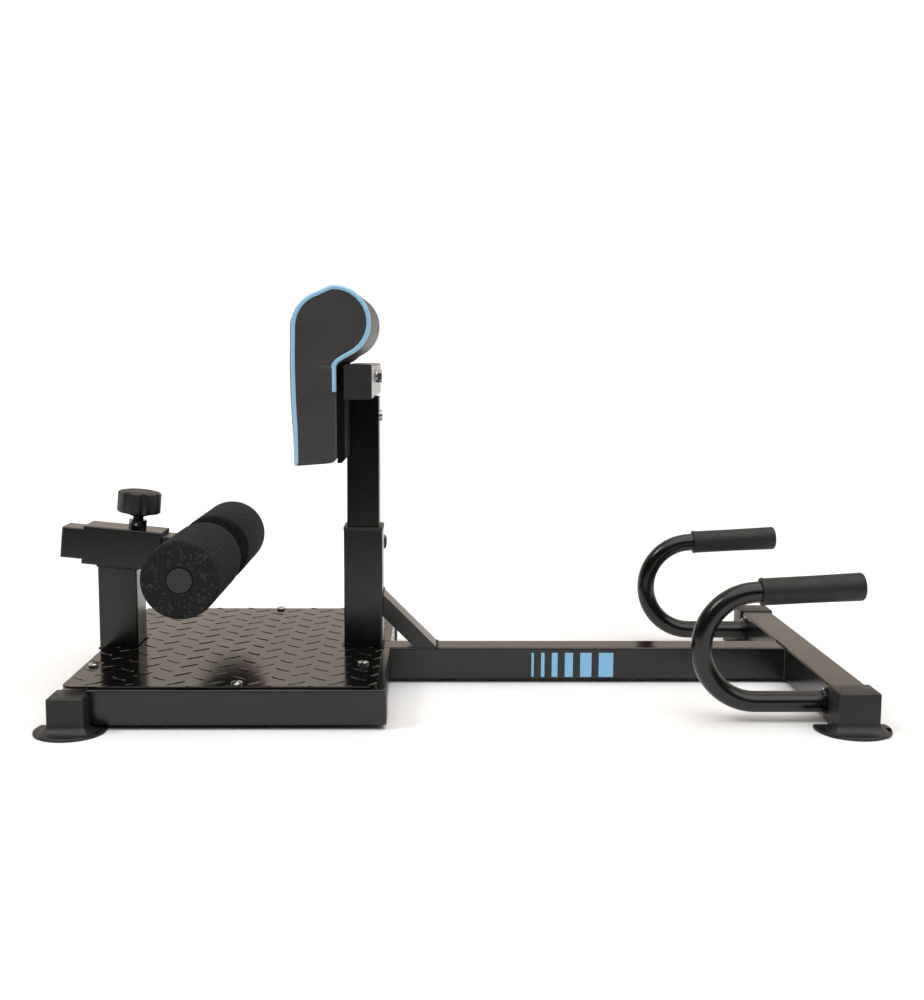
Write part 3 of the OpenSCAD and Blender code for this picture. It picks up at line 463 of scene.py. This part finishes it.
def select_edges(piece, test):
    """Selects a piece's edges whose two ends pass a test."""
    bpy.context.tool_settings.mesh_select_mode = (False, True, False)
    bpy.ops.object.mode_set(mode="EDIT")
    bpy.ops.mesh.select_all(action="DESELECT")
    bpy.ops.object.mode_set(mode="OBJECT")
    points = piece.data.vertices
    for edge in piece.data.edges:
        edge.select = test(points[edge.vertices[0]].co, points[edge.vertices[1]].co)
    bpy.ops.object.mode_set(mode="EDIT")


def block(low, high):
    """A plain block between two corners, used to build and to cut."""
    low, high = Vector(low), Vector(high)
    bpy.ops.mesh.primitive_cube_add(size=1, location=(low + high) / 2, scale=high - low)
    return place_mesh()


def cut_or_add(piece, other, operation):
    """Cuts another shape from a piece or adds it, then removes that shape."""
    apply_modifier(piece, "BOOLEAN", operation=operation, object=other, solver="EXACT")
    bpy.data.objects.remove(other)


def near_cap(name, tube_node, rail_on_it):
    """The cap on the near end of a cross tube."""
    low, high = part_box(tube_node)
    middle = (low.x + high.x) / 2
    half = (high.x - low.x) / 2 + CAP_WALL
    face = low.y - CAP_WALL
    radius = half + FLANGE_SIDE
    cap = block((middle - half, face, 0), (middle + half, face + CAP_LENGTH, high.z + CAP_ROOF))
    select_edges(cap, lambda a, b: max(a.z, b.z) > FLANGE_T and not a.y == b.y == face + CAP_LENGTH)
    bpy.ops.mesh.bevel(offset=CAP_EDGE, segments=4)
    bpy.ops.object.mode_set(mode="OBJECT")
    bpy.ops.mesh.primitive_cylinder_add(
        vertices=96,
        radius=radius,
        depth=FLANGE_T,
        location=(middle, face - FLANGE_OUT + radius, FLANGE_T / 2),
    )
    flange = place_mesh()
    bpy.ops.object.mode_set(mode="EDIT")
    bpy.ops.mesh.select_all(action="SELECT")
    bpy.ops.mesh.bisect(
        plane_co=(middle, face + FLANGE_BACK * CAP_LENGTH, 0),
        plane_no=(0, 1, 0),
        clear_outer=True,
        use_fill=True,
    )
    bpy.ops.object.mode_set(mode="OBJECT")
    select_edges(
        flange,
        lambda a, b: min(a.z, b.z) > FLANGE_T * 0.9 and min(a.y, b.y) < face + 0.8 * CAP_LENGTH,
    )
    bpy.ops.mesh.bevel(offset=FLANGE_EDGE, segments=3)
    bpy.ops.object.mode_set(mode="OBJECT")
    cut_or_add(cap, flange, "UNION")
    reach = half + 0.0002
    select_edges(
        cap,
        lambda a, b: all(
            abs(p.z - FLANGE_T) < 0.00005 and abs(p.x - middle) < reach and p.y > face - 0.0002
            for p in (a, b)
        ),
    )
    bpy.ops.mesh.bevel(offset=FLARE, segments=7, profile=0.5, clamp_overlap=False)
    bpy.ops.object.mode_set(mode="OBJECT")
    pocket = block(
        (low.x - FIT_GAP, low.y, low.z),
        (high.x + FIT_GAP, low.y + CAP_LENGTH * 2, high.z + FIT_GAP),
    )
    cut_or_add(cap, pocket, "DIFFERENCE")
    if rail_on_it:
        notch = block(
            (high.x - FIT_GAP, rail_low.y - FIT_GAP, rail_low.z - FIT_GAP),
            (high.x + CAP_LENGTH, rail_low.y + CAP_LENGTH * 2, rail_high.z + CAP_LENGTH),
        )
        cut_or_add(cap, notch, "DIFFERENCE")
    cap.name = name
    bpy.ops.object.shade_smooth_by_angle(angle=math.radians(35))
    return cap


def free_copy(piece, name):
    """A copy of a piece, with its own mesh."""
    copy = piece.copy()
    copy.data = piece.data.copy()
    copy.name = name
    bpy.context.scene.collection.objects.link(copy)
    bpy.ops.object.select_all(action="DESELECT")
    copy.select_set(True)
    bpy.context.view_layer.objects.active = copy
    return copy


def mirror_across(piece):
    """Mirrors a piece to the bench's other side, with its faces turned outwards again."""
    bpy.ops.object.mode_set(mode="EDIT")
    bpy.ops.mesh.select_all(action="SELECT")
    bpy.ops.transform.resize(value=(1, -1, 1), center_override=(0, 0, 0))
    bpy.ops.mesh.flip_normals()
    bpy.ops.object.mode_set(mode="OBJECT")
    return piece


foot_end_cap = near_cap("foot_end_cap_near", "foot_cross_tube", True)
foot_end_far = mirror_across(free_copy(foot_end_cap, "foot_end_cap_far"))
handle_end_cap = near_cap("handle_end_cap_near", "handle_cross_tube", False)
handle_end_far = mirror_across(free_copy(handle_end_cap, "handle_end_cap_far"))
fit(foot_end_cap, "base_frame", "black_rubber", cap_rubber, "foot_cap_a")
fit(foot_end_far, "base_frame", "black_rubber", cap_rubber, "foot_cap_b")
fit(handle_end_cap, "base_frame", "black_rubber", cap_rubber, "foot_cap_c")
fit(handle_end_far, "base_frame", "black_rubber", cap_rubber, "foot_cap_d")

# ---- Push-up handles ----
# Round steel tube, bent cold round a half-turn former and powder coated with the frame. The
# lower leg stands in its socket, and the upper leg rises a little to the grip.
HANDLE_R = 0.015
HANDLE_BEND = 0.079
HANDLE_RISE = math.radians(3.1)
HANDLE_SIDES = 48
BEND_STEPS = 32
GRIP_START = 0.0065
GRIP_LENGTH = 0.146
HANDLE_END_GAP = 0.006

handle_low, handle_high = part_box("handle_near")
handle_y = (handle_low.y + handle_high.y) / 2
bend_centre = Vector((handle_low.x + HANDLE_BEND + HANDLE_R, handle_y, handle_low.z + HANDLE_R + HANDLE_BEND))
leg_end_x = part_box("handle_sockets")[1].x - 0.001
grip_way = Vector((math.cos(HANDLE_RISE), 0, math.sin(HANDLE_RISE)))
grip_up = Vector((-math.sin(HANDLE_RISE), 0, math.cos(HANDLE_RISE)))
leg_start = bend_centre + HANDLE_BEND * grip_up

bpy.ops.mesh.primitive_circle_add(
    vertices=HANDLE_SIDES,
    radius=HANDLE_R,
    fill_type="NGON",
    location=(leg_end_x, handle_y, handle_low.z + HANDLE_R),
    rotation=(0, math.radians(90), 0),
)
handle = place_mesh()
bpy.ops.object.mode_set(mode="EDIT")
bpy.ops.mesh.select_all(action="SELECT")
bpy.ops.mesh.extrude_region_move(TRANSFORM_OT_translate={"value": (bend_centre.x - leg_end_x, 0, 0)})
bpy.ops.mesh.spin(
    steps=BEND_STEPS, angle=HANDLE_RISE - math.radians(180), center=bend_centre, axis=(0, 1, 0)
)
bpy.ops.mesh.extrude_region_move(
    TRANSFORM_OT_translate={"value": grip_way * (GRIP_START + GRIP_LENGTH - HANDLE_END_GAP)}
)
bpy.ops.mesh.select_all(action="SELECT")
bpy.ops.mesh.remove_doubles(threshold=MERGE_GAP)
bpy.ops.mesh.normals_make_consistent(inside=False)
bpy.ops.object.mode_set(mode="OBJECT")
handle.name = "bent_handle_near"
bpy.ops.object.shade_smooth_by_angle(angle=math.radians(35))
handle_far = mirror_across(free_copy(handle, "bent_handle_far"))
fit(handle, "base_frame", "black_powder_coat", powder_coat, "handle_near")
fit(handle_far, "base_frame", "black_powder_coat", powder_coat, "handle_far")

# ---- Grips ----
# Moulded rubber sleeves, stretched over the handles. Each has a thicker lip at
# its mouth and a closed, rounded end, and its matte skin is finely pebbled.
GRIP_R = 0.020
GRIP_LIP = 0.0045
GRIP_WAIST = 0.0008
LIP_ROUND = 0.0012
END_ROUND = 0.0045
GRIP_BLACK = "#0d0d0d"
PEBBLE = 0.0016

grip_rubber, tree, shader, place = start_material(
    "Pebbled black grip rubber", {"Base Color": linear(GRIP_BLACK), "IOR": 1.52}
)
vary_roughness(tree, shader, place, HAZE_SIZE / 4, 0.5, 0.66)
pebbles = add_node(tree, "ShaderNodeTexVoronoi", {"Scale": 1 / PEBBLE}, {"Vector": place})
raise_surface(tree, shader, pebbles.outputs["Distance"], 0.00012)


def turned(name, profile, sides, hollow=False):
    """A shape turned about Z, from a profile of radii and heights: its rings are extruded one
    from another. A hollow one closes from its last ring back to its first."""
    radius, height = profile[0]
    bpy.ops.mesh.primitive_circle_add(
        vertices=sides,
        radius=radius,
        fill_type="NOTHING" if hollow else "NGON",
        location=(0, 0, height),
    )
    piece = place_mesh()
    bpy.context.tool_settings.mesh_select_mode = (True, False, False)
    bpy.ops.object.mode_set(mode="EDIT")
    bpy.ops.mesh.select_all(action="SELECT")
    for next_radius, next_height in profile[1:]:
        bpy.ops.mesh.extrude_region_move(
            TRANSFORM_OT_translate={"value": (0, 0, next_height - height)}
        )
        scale = next_radius / radius
        bpy.ops.transform.resize(value=(scale, scale, 1), center_override=(0, 0, next_height))
        radius, height = next_radius, next_height
    if hollow:
        bpy.ops.mesh.select_all(action="DESELECT")
        bpy.ops.mesh.select_non_manifold()
        bpy.ops.mesh.bridge_edge_loops()
    bpy.ops.mesh.select_all(action="SELECT")
    bpy.ops.mesh.normals_make_consistent(inside=False)
    bpy.ops.object.mode_set(mode="OBJECT")
    piece.name = name
    bpy.ops.object.shade_smooth_by_angle(angle=math.radians(35))
    return piece


def round_corner(radius, height, size, start, end, steps):
    """Points on a rounded corner of a profile, round (radius, height), between two angles."""
    angles = [math.radians(start + (end - start) * i / steps) for i in range(steps + 1)]
    return [(radius + size * math.cos(a), height + size * math.sin(a)) for a in angles]


def stand_at(piece, axis, point):
    """Turns a shape made along Z to an axis, and moves its foot to a point."""
    piece.rotation_euler = Vector(axis).to_track_quat("Z", "Y").to_euler()
    piece.location = point
    return place_mesh()


grip_profile = (
    [(HANDLE_R + 0.0002, 0.001), (HANDLE_R + 0.0002, 0)]
    + round_corner(GRIP_R - LIP_ROUND, LIP_ROUND, LIP_ROUND, -90, 0, 4)
    + round_corner(GRIP_R - LIP_ROUND, GRIP_LIP - LIP_ROUND, LIP_ROUND, 0, 60, 3)
    + [(GRIP_R - GRIP_WAIST, GRIP_LIP + GRIP_WAIST), (GRIP_R - GRIP_WAIST, GRIP_LENGTH / 2)]
    + round_corner(GRIP_R - END_ROUND, GRIP_LENGTH - END_ROUND, END_ROUND, 0, 90, 7)
    + [(0.004, GRIP_LENGTH)]
)
grip = turned("grip_sleeve_near", grip_profile, 64)
stand_at(grip, grip_way, leg_start + GRIP_START * grip_way)
grip_far = mirror_across(free_copy(grip, "grip_sleeve_far"))
fit(grip, "base_frame", "black_rubber", grip_rubber, "grip_near")
fit(grip_far, "base_frame", "black_rubber", grip_rubber, "grip_far")

# ---- Star knobs ----
# Injection-moulded nylon knobs with eight finger hollows and a tapered skirt. Every edge is
# radiused by the mould, and the top is dished round a flat disc.
KNOB_R = 0.033
KNOB_TOP_R = 0.030
KNOB_NECK_R = 0.0125
KNOB_RECESS_R = 0.0087
KNOB_SKIRT_R = 0.0305
KNOB_LOBES = 8
KNOB_HOLLOW_R = 0.0073
KNOB_BASE = 0.0196
KNOB_RECESS_H = 0.0095
KNOB_SKIRT_H = 0.005
KNOB_RIM_H = 0.033
KNOB_CROWN_H = 0.002
KNOB_BLACK = "#1a1a19"
KNOB_GRAIN = 0.0007
PIN_ALONG = 0.016
HOLLOW_OUT = 0.62
KNOB_EDGE = 0.0014

knob_nylon, tree, shader, place = start_material(
    "Fine-grained knob nylon", {"Base Color": linear(KNOB_BLACK), "IOR": 1.53}
)
vary_roughness(tree, shader, place, HAZE_SIZE / 4, 0.36, 0.46)
grain = add_node(tree, "ShaderNodeTexNoise", {"Scale": 1 / KNOB_GRAIN, "Detail": 2}, {"Vector": place})
raise_surface(tree, shader, grain.outputs["Fac"], 0.00003)

rim_z = KNOB_BASE + KNOB_SKIRT_H
knob_top = rim_z + KNOB_RIM_H
knob_profile = [
    (KNOB_RECESS_R, KNOB_BASE + KNOB_RECESS_H),
    (KNOB_RECESS_R, KNOB_BASE),
    (KNOB_NECK_R, KNOB_BASE),
    (KNOB_NECK_R + 0.001, KNOB_BASE + 0.0012),
    (KNOB_SKIRT_R, rim_z),
    (KNOB_R, rim_z + 0.0015),
    (KNOB_R, knob_top - 0.002),
    (KNOB_TOP_R, knob_top),
    (KNOB_TOP_R * 0.72, knob_top + KNOB_CROWN_H * 0.8),
    (KNOB_TOP_R * 0.66, knob_top + 0.0002),
    (KNOB_TOP_R * 0.5, knob_top - 0.0004),
    (0.003, knob_top),
]
knob = turned("slider_star_knob", knob_profile, 96)
for lobe in range(KNOB_LOBES):
    around = (lobe + 0.5) * 2 * math.pi / KNOB_LOBES
    reach = KNOB_R + KNOB_HOLLOW_R * HOLLOW_OUT
    bpy.ops.mesh.primitive_cylinder_add(
        vertices=32,
        radius=KNOB_HOLLOW_R,
        depth=0.08,
        location=(reach * math.cos(around), reach * math.sin(around), knob_top - 0.03),
    )
    cut_or_add(knob, place_mesh(), "DIFFERENCE")
apply_modifier(
    knob, "BEVEL", width=KNOB_EDGE, segments=3, limit_method="ANGLE", angle_limit=math.radians(38)
)
bpy.ops.object.shade_smooth_by_angle(angle=math.radians(40))
post_knob = free_copy(knob, "post_star_knob")

slider_pin_foot = sleeve_middle + PIN_ALONG * slide_way + half_sleeve * slide_up
nut_low, nut_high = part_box("height_nut")
height_pin_foot = Vector(((post_low.x + post_high.x) / 2, post_high.y, (nut_low.z + nut_high.z) / 2))

stand_at(post_knob, (0, 1, 0), height_pin_foot)
fit(post_knob, "height_plunger", "knob_plastic", knob_nylon, "height_knob")
knob.select_set(True)
bpy.context.view_layer.objects.active = knob
stand_at(knob, slide_up, slider_pin_foot)
fit(knob, "slider_plunger", "knob_plastic", knob_nylon, "slider_knob")

# ---- Foam rollers ----
# Closed-cell rubber foam tube, cut to length and its cut edges sealed. The skin is matte and
# slightly uneven, and the cut ends show pale specks where cells are open.
ROLLER_EDGE = 0.006
FOAM_BLACK = "#1f1f20"
FOAM_SPECK = "#3a3a3c"
FOAM_CELL = 0.0022
SPECK_SPREAD = 0.0045
CAP_SEAT = 0.0045
SEAT_EDGE = 0.001

foam, tree, shader, place = start_material(
    "Black closed-cell foam", {"Roughness": 0.95, "IOR": 1.4, "Specular IOR Level": 0.3}
)
cells = add_node(tree, "ShaderNodeTexVoronoi", {"Scale": 1 / FOAM_CELL}, {"Vector": place})
spread = add_node(
    tree, "ShaderNodeTexNoise", {"Scale": 1 / SPECK_SPREAD, "Detail": 3}, {"Vector": place}
)
speck = add_node(
    tree,
    "ShaderNodeMapRange",
    {"From Min": 0.54, "From Max": 0.7},
    {"Value": spread.outputs["Fac"]},
)
tint = add_node(
    tree,
    "ShaderNodeMix",
    {"data_type": "RGBA", 6: linear(FOAM_BLACK), 7: linear(FOAM_SPECK)},
    {0: speck.outputs["Result"]},
)
tree.links.new(tint.outputs[2], shader.inputs["Base Color"])
raise_surface(tree, shader, cells.outputs["Distance"], 0.00025)

roller_low, roller_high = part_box("foam_roller_near")
roller_middle = (roller_low + roller_high) / 2
roller_r = (roller_high.x - roller_low.x) / 2
roller_length = roller_high.y - roller_low.y
end_cap_low, end_cap_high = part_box("roller_end_caps")
seat_r = (end_cap_high.x - end_cap_low.x) / 2 + SEAT_EDGE
core_low, core_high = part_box("roller_core_near")
bore_r = (core_high.x - core_low.x) / 2
roller_profile = (
    [(bore_r, 0)]
    + round_corner(roller_r - ROLLER_EDGE, ROLLER_EDGE, ROLLER_EDGE, -90, 0, 6)
    + [(roller_r, roller_length / 2)]
    + round_corner(roller_r - ROLLER_EDGE, roller_length - ROLLER_EDGE, ROLLER_EDGE, 0, 90, 6)
    + [(seat_r + SEAT_EDGE, roller_length), (seat_r, roller_length - SEAT_EDGE)]
    + [(seat_r, roller_length - CAP_SEAT), (bore_r, roller_length - CAP_SEAT)]
)
roller = turned("foam_sleeve_near", roller_profile, 96, hollow=True)
roller_foot = Vector((roller_middle.x, roller_high.y, roller_middle.z))
stand_at(roller, (0, -1, 0), roller_foot)
roller_far = mirror_across(free_copy(roller, "foam_sleeve_far"))
for sleeve, body, node in (
    (roller, "roller_near", "foam_roller_near"),
    (roller_far, "roller_far", "foam_roller_far"),
):
    fit(sleeve, body, "roller_foam", foam, node)

# ---- Pad board ----
# Plywood board wrapped in thin black non-woven backing cloth, stapled under the pad's edge.
CLOTH_BLACK = "#100f0f"
CLOTH_THREAD = 0.0009

backing_cloth, tree, shader, place = start_material(
    "Black non-woven backing cloth",
    {"Base Color": linear(CLOTH_BLACK), "Roughness": 0.95, "Specular IOR Level": 0.2, "Sheen Weight": 0.03},
)
fibres = add_node(tree, "ShaderNodeTexNoise", {"Scale": 1 / CLOTH_THREAD, "Detail": 4}, {"Vector": place})
raise_surface(tree, shader, fibres.outputs["Fac"], 0.0002)
coat_node(["pad_board"], backing_cloth)

# ---- Back pad ----
# Foam pad on the board, upholstered in synthetic leather. Its cover is a front strip and two
# side panels, held at the seams, so the foam swells between them.
PAD_VOXEL = 0.005
PAD_CAP = 0.005
PAD_PRESSURE = 4.0
SIM_FRAMES = 20
SEAM_SHARE = 0.075
SEAM_FADE = 0.06
SEAM_LEAST = 0.25
SEAM_SHARPNESS = 14
PANEL_DEPTH = 0.012
TUCK_Z = 0.501
TUCK_DEPTH = 0.0035
TUCK_HALF = 0.005
TUCK_REACH = 0.040
LEATHER_BLACK = "#383637"
LEATHER_LIGHT = "#423f40"
LEATHER_GRAIN = 0.0018

pad = merged_copy("back_pad", "pad_cushion")
pad_low, pad_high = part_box("back_pad")
board_low, board_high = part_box("pad_board")
pad.data.remesh_voxel_size = PAD_VOXEL
bpy.ops.object.voxel_remesh()


def draw_back(point, share):
    """Draws a point on the front of the pad back towards the board, by a share of its depth."""
    depth = board_low.x - point.x
    if depth > 0:
        pull = min(1, SEAM_LEAST + (point.z - pad_low.z) / SEAM_FADE)
        point.x += depth * SEAM_SHARE * pull * share


def tuck_in(point):
    """Pulls in a short crease on each side panel, level with the pad's neck."""
    across = max(0, 1 - abs(point.z - TUCK_Z) / TUCK_HALF)
    along = min(1, max(0, 1 - (board_low.x - point.x) / TUCK_REACH))
    if abs(point.y) > pad_high.y - PANEL_DEPTH:
        point.y -= math.copysign(TUCK_DEPTH * across * along, point.y)


for point in pad.data.vertices:
    draw_back(point.co, (abs(point.co.y) / pad_high.y) ** SEAM_SHARPNESS)
held = pad.vertex_groups.new(name="held")
seam_points = [
    v.index
    for v in pad.data.vertices
    if (abs(v.co.y) > pad_high.y - PAD_VOXEL * 0.9 and abs(v.normal.y) < 0.93)
    or (v.normal.x > 0.8 and v.co.z < board_high.z + 0.004)
]
held.add(seam_points, 1.0, "REPLACE")
rest_shape = [v.co.copy() for v in pad.data.vertices]
cloth = pad.modifiers.new("Cloth", "CLOTH")
cloth.settings.vertex_group_mass = "held"
cloth.settings.quality = 6
cloth.settings.mass = 0.3
cloth.settings.use_pressure = True
cloth.settings.uniform_pressure_force = PAD_PRESSURE
cloth.settings.effector_weights.gravity = 0
cloth.point_cache.frame_start = 1
cloth.point_cache.frame_end = SIM_FRAMES
for number in range(1, SIM_FRAMES + 1):
    bpy.context.scene.frame_set(number)
bpy.ops.object.modifier_apply(modifier=cloth.name)
bpy.context.scene.frame_set(1)
for point, rest in zip(pad.data.vertices, rest_shape):
    move = point.co - rest
    if move.length > PAD_CAP:
        point.co = rest + move.normalized() * PAD_CAP
apply_modifier(pad, "SMOOTH", factor=0.5, iterations=3)
apply_modifier(pad, "SUBSURF", levels=1, render_levels=1)
for point in pad.data.vertices:
    tuck_in(point.co)
bpy.ops.object.shade_smooth()

leather, tree, shader, place = start_material(
    "Black synthetic leather", {"IOR": 1.5, "Sheen Weight": 0.05}
)
vary_roughness(tree, shader, place, HAZE_SIZE / 2, 0.42, 0.56)
creases = add_node(tree, "ShaderNodeTexVoronoi", {"Scale": 1 / LEATHER_GRAIN}, {"Vector": place})
shade = add_node(tree, "ShaderNodeTexNoise", {"Scale": 1 / HAZE_SIZE, "Detail": 3}, {"Vector": place})
tint = add_node(
    tree,
    "ShaderNodeMix",
    {"data_type": "RGBA", 6: linear(LEATHER_BLACK), 7: linear(LEATHER_LIGHT)},
    {0: shade.outputs["Fac"]},
)
tree.links.new(tint.outputs[2], shader.inputs["Base Color"])
raise_surface(tree, shader, creases.outputs["Distance"], 0.00018)
fit(pad, "pad_post", "pad_leather", leather, "back_pad")

# ---- Piping ----
# Light blue vinyl piping sewn into the seams between the front strip and the side panels. It
# runs from the lower front corner up the front, over the head and down behind the neck.
PIPING_R = 0.0036
PIPING_IN = 0.0022
PIPING_SET = 0.0032
PIPING_BLUE = "#9ed6fa"
PIPING_END_Z = 0.462
PAD_FOOT_T = 0.062
CORNER_REACH = 0.008
BEHIND_DEPTH = 0.006
UNDER_HEIGHT = 0.02

piping_vinyl, tree, shader, place = start_material(
    "Light blue piping vinyl", {"Base Color": linear(PIPING_BLUE), "IOR": 1.53}
)
vary_roughness(tree, shader, place, HAZE_SIZE / 8, 0.4, 0.52)
creases = add_node(tree, "ShaderNodeTexNoise", {"Scale": 1 / LEATHER_GRAIN, "Detail": 2}, {"Vector": place})
raise_surface(tree, shader, creases.outputs["Fac"], 0.0001)


def pad_piping(side, name):
    """Piping round one side panel of the pad."""
    outline = merged_copy("back_pad", name)
    select_faces(outline, lambda f: f.normal.y * side > 0.99)
    bpy.ops.mesh.dissolve_faces()
    bpy.ops.mesh.inset(thickness=PIPING_SET)
    bpy.ops.mesh.select_all(action="INVERT")
    bpy.ops.mesh.delete(type="FACE")
    bpy.ops.mesh.select_all(action="SELECT")
    bpy.ops.mesh.bisect(plane_co=(0, 0, PIPING_END_Z), plane_no=(0, 0, 1))
    bpy.ops.mesh.select_all(action="SELECT")
    bpy.ops.mesh.delete(type="ONLY_FACE")
    bpy.ops.object.mode_set(mode="OBJECT")
    select_edges(outline, lambda a, b: max(abs(p.z - PIPING_END_Z) for p in (a, b)) < 0.0001)
    bpy.ops.mesh.delete(type="EDGE")
    bpy.ops.object.mode_set(mode="OBJECT")
    bpy.context.tool_settings.mesh_select_mode = (True, False, False)
    corner_x = board_low.x - PAD_FOOT_T + CORNER_REACH
    for point in outline.data.vertices:
        behind = point.co.x > board_low.x - BEHIND_DEPTH and point.co.z < PIPING_END_Z - 0.0005
        under = point.co.x > corner_x and point.co.z < pad_low.z + UNDER_HEIGHT
        point.select = behind or under
        draw_back(point.co, 1)
    bpy.ops.object.mode_set(mode="EDIT")
    bpy.ops.mesh.delete(type="VERT")
    bpy.ops.mesh.select_all(action="SELECT")
    bpy.ops.transform.translate(value=(0, -side * PIPING_IN, 0))
    bpy.ops.object.mode_set(mode="OBJECT")
    bpy.ops.object.convert(target="CURVE")
    outline.data.bevel_depth = PIPING_R
    outline.data.bevel_resolution = 4
    outline.data.use_fill_caps = True
    bpy.ops.object.convert(target="MESH")
    bpy.ops.object.shade_smooth_by_angle(angle=math.radians(50))
    return bpy.context.object


for side, name in ((-1, "pad_piping_near"), (1, "pad_piping_far")):
    fit(pad_piping(side, name), "pad_post", "pad_leather", piping_vinyl)

# ---- Studio ----
# A plain pale floor that stops short of the camera, a broad light overhead, a smaller one to
# the upper left, and a surround that is bright behind the bench and dark in front of it.
FLOOR_HALF = 30.0
FLOOR_NEAR = -1.35
FLOOR_WHITE = "#f6f6f6"
SURROUND_BRIGHT = "#dfd1c2"
SURROUND_DARK = "#3a3938"
CAMERA_PLACE = (-0.03085, -1.90595, 0.51808)
CAMERA_DOWN = math.radians(6.86)
CAMERA_TURN = math.radians(1.38)
CAMERA_ROLL = math.radians(0.35)
CAMERA_LENS = 47.53

bpy.ops.mesh.primitive_plane_add(size=2 * FLOOR_HALF, location=(0, FLOOR_HALF + FLOOR_NEAR, 0))
floor = bpy.context.object
floor.name = "studio_floor"
paper, tree, shader, place = start_material(
    "Matte white paper", {"Base Color": linear(FLOOR_WHITE), "Roughness": 0.9, "Specular IOR Level": 0.1}
)
floor.data.materials.append(paper)

for name, energy, spread, way in (
    ("overhead_softbox", 2.6, 80, (0.2, -0.3, 0.9)),
    ("upper_left_softbox", 0.8, 18, (-0.63, -0.25, 0.7)),
):
    bpy.ops.object.light_add(type="SUN", rotation=Vector(way).to_track_quat("Z", "Y").to_euler())
    lamp = bpy.context.object
    lamp.name = name
    lamp.data.energy = energy
    lamp.data.angle = math.radians(spread)

world = bpy.data.worlds.new("Pale surround")
bpy.context.scene.world = world
world.use_nodes = True
room = world.node_tree
backdrop = room.nodes["Background"]
way = room.nodes.new("ShaderNodeTexCoord").outputs["Generated"]
parts = add_node(room, "ShaderNodeSeparateXYZ", {}, {"Vector": way})
depth = add_node(
    room, "ShaderNodeMapRange", {"From Min": -0.1, "From Max": 0.35}, {"Value": parts.outputs["Y"]}
)
tone = add_node(
    room,
    "ShaderNodeMix",
    {"data_type": "RGBA", 6: linear(SURROUND_DARK), 7: linear(SURROUND_BRIGHT)},
    {0: depth.outputs["Result"]},
)
seen = add_node(room, "ShaderNodeLightPath", {}, {})
shown = add_node(
    room,
    "ShaderNodeMix",
    {"data_type": "RGBA", 7: (1.1, 1.1, 1.1, 1)},
    {0: seen.outputs["Is Camera Ray"], 6: tone.outputs[2]},
)
room.links.new(shown.outputs[2], backdrop.inputs["Color"])

camera_data = bpy.data.cameras.new("camera")
camera_data.lens = CAMERA_LENS
camera_data.sensor_width = 36
camera_data.sensor_fit = "HORIZONTAL"
camera_data.clip_end = 100
camera = bpy.data.objects.new("camera", camera_data)
bpy.context.scene.collection.objects.link(camera)
camera.matrix_world = (
    Matrix.Translation(CAMERA_PLACE)
    @ Matrix.Rotation(-CAMERA_TURN, 4, "Z")
    @ Matrix.Rotation(math.radians(90) - CAMERA_DOWN, 4, "X")
    @ Matrix.Rotation(CAMERA_ROLL, 4, "Z")
)
bpy.context.scene.camera = camera
bpy.context.scene.view_settings.view_transform = "Standard"
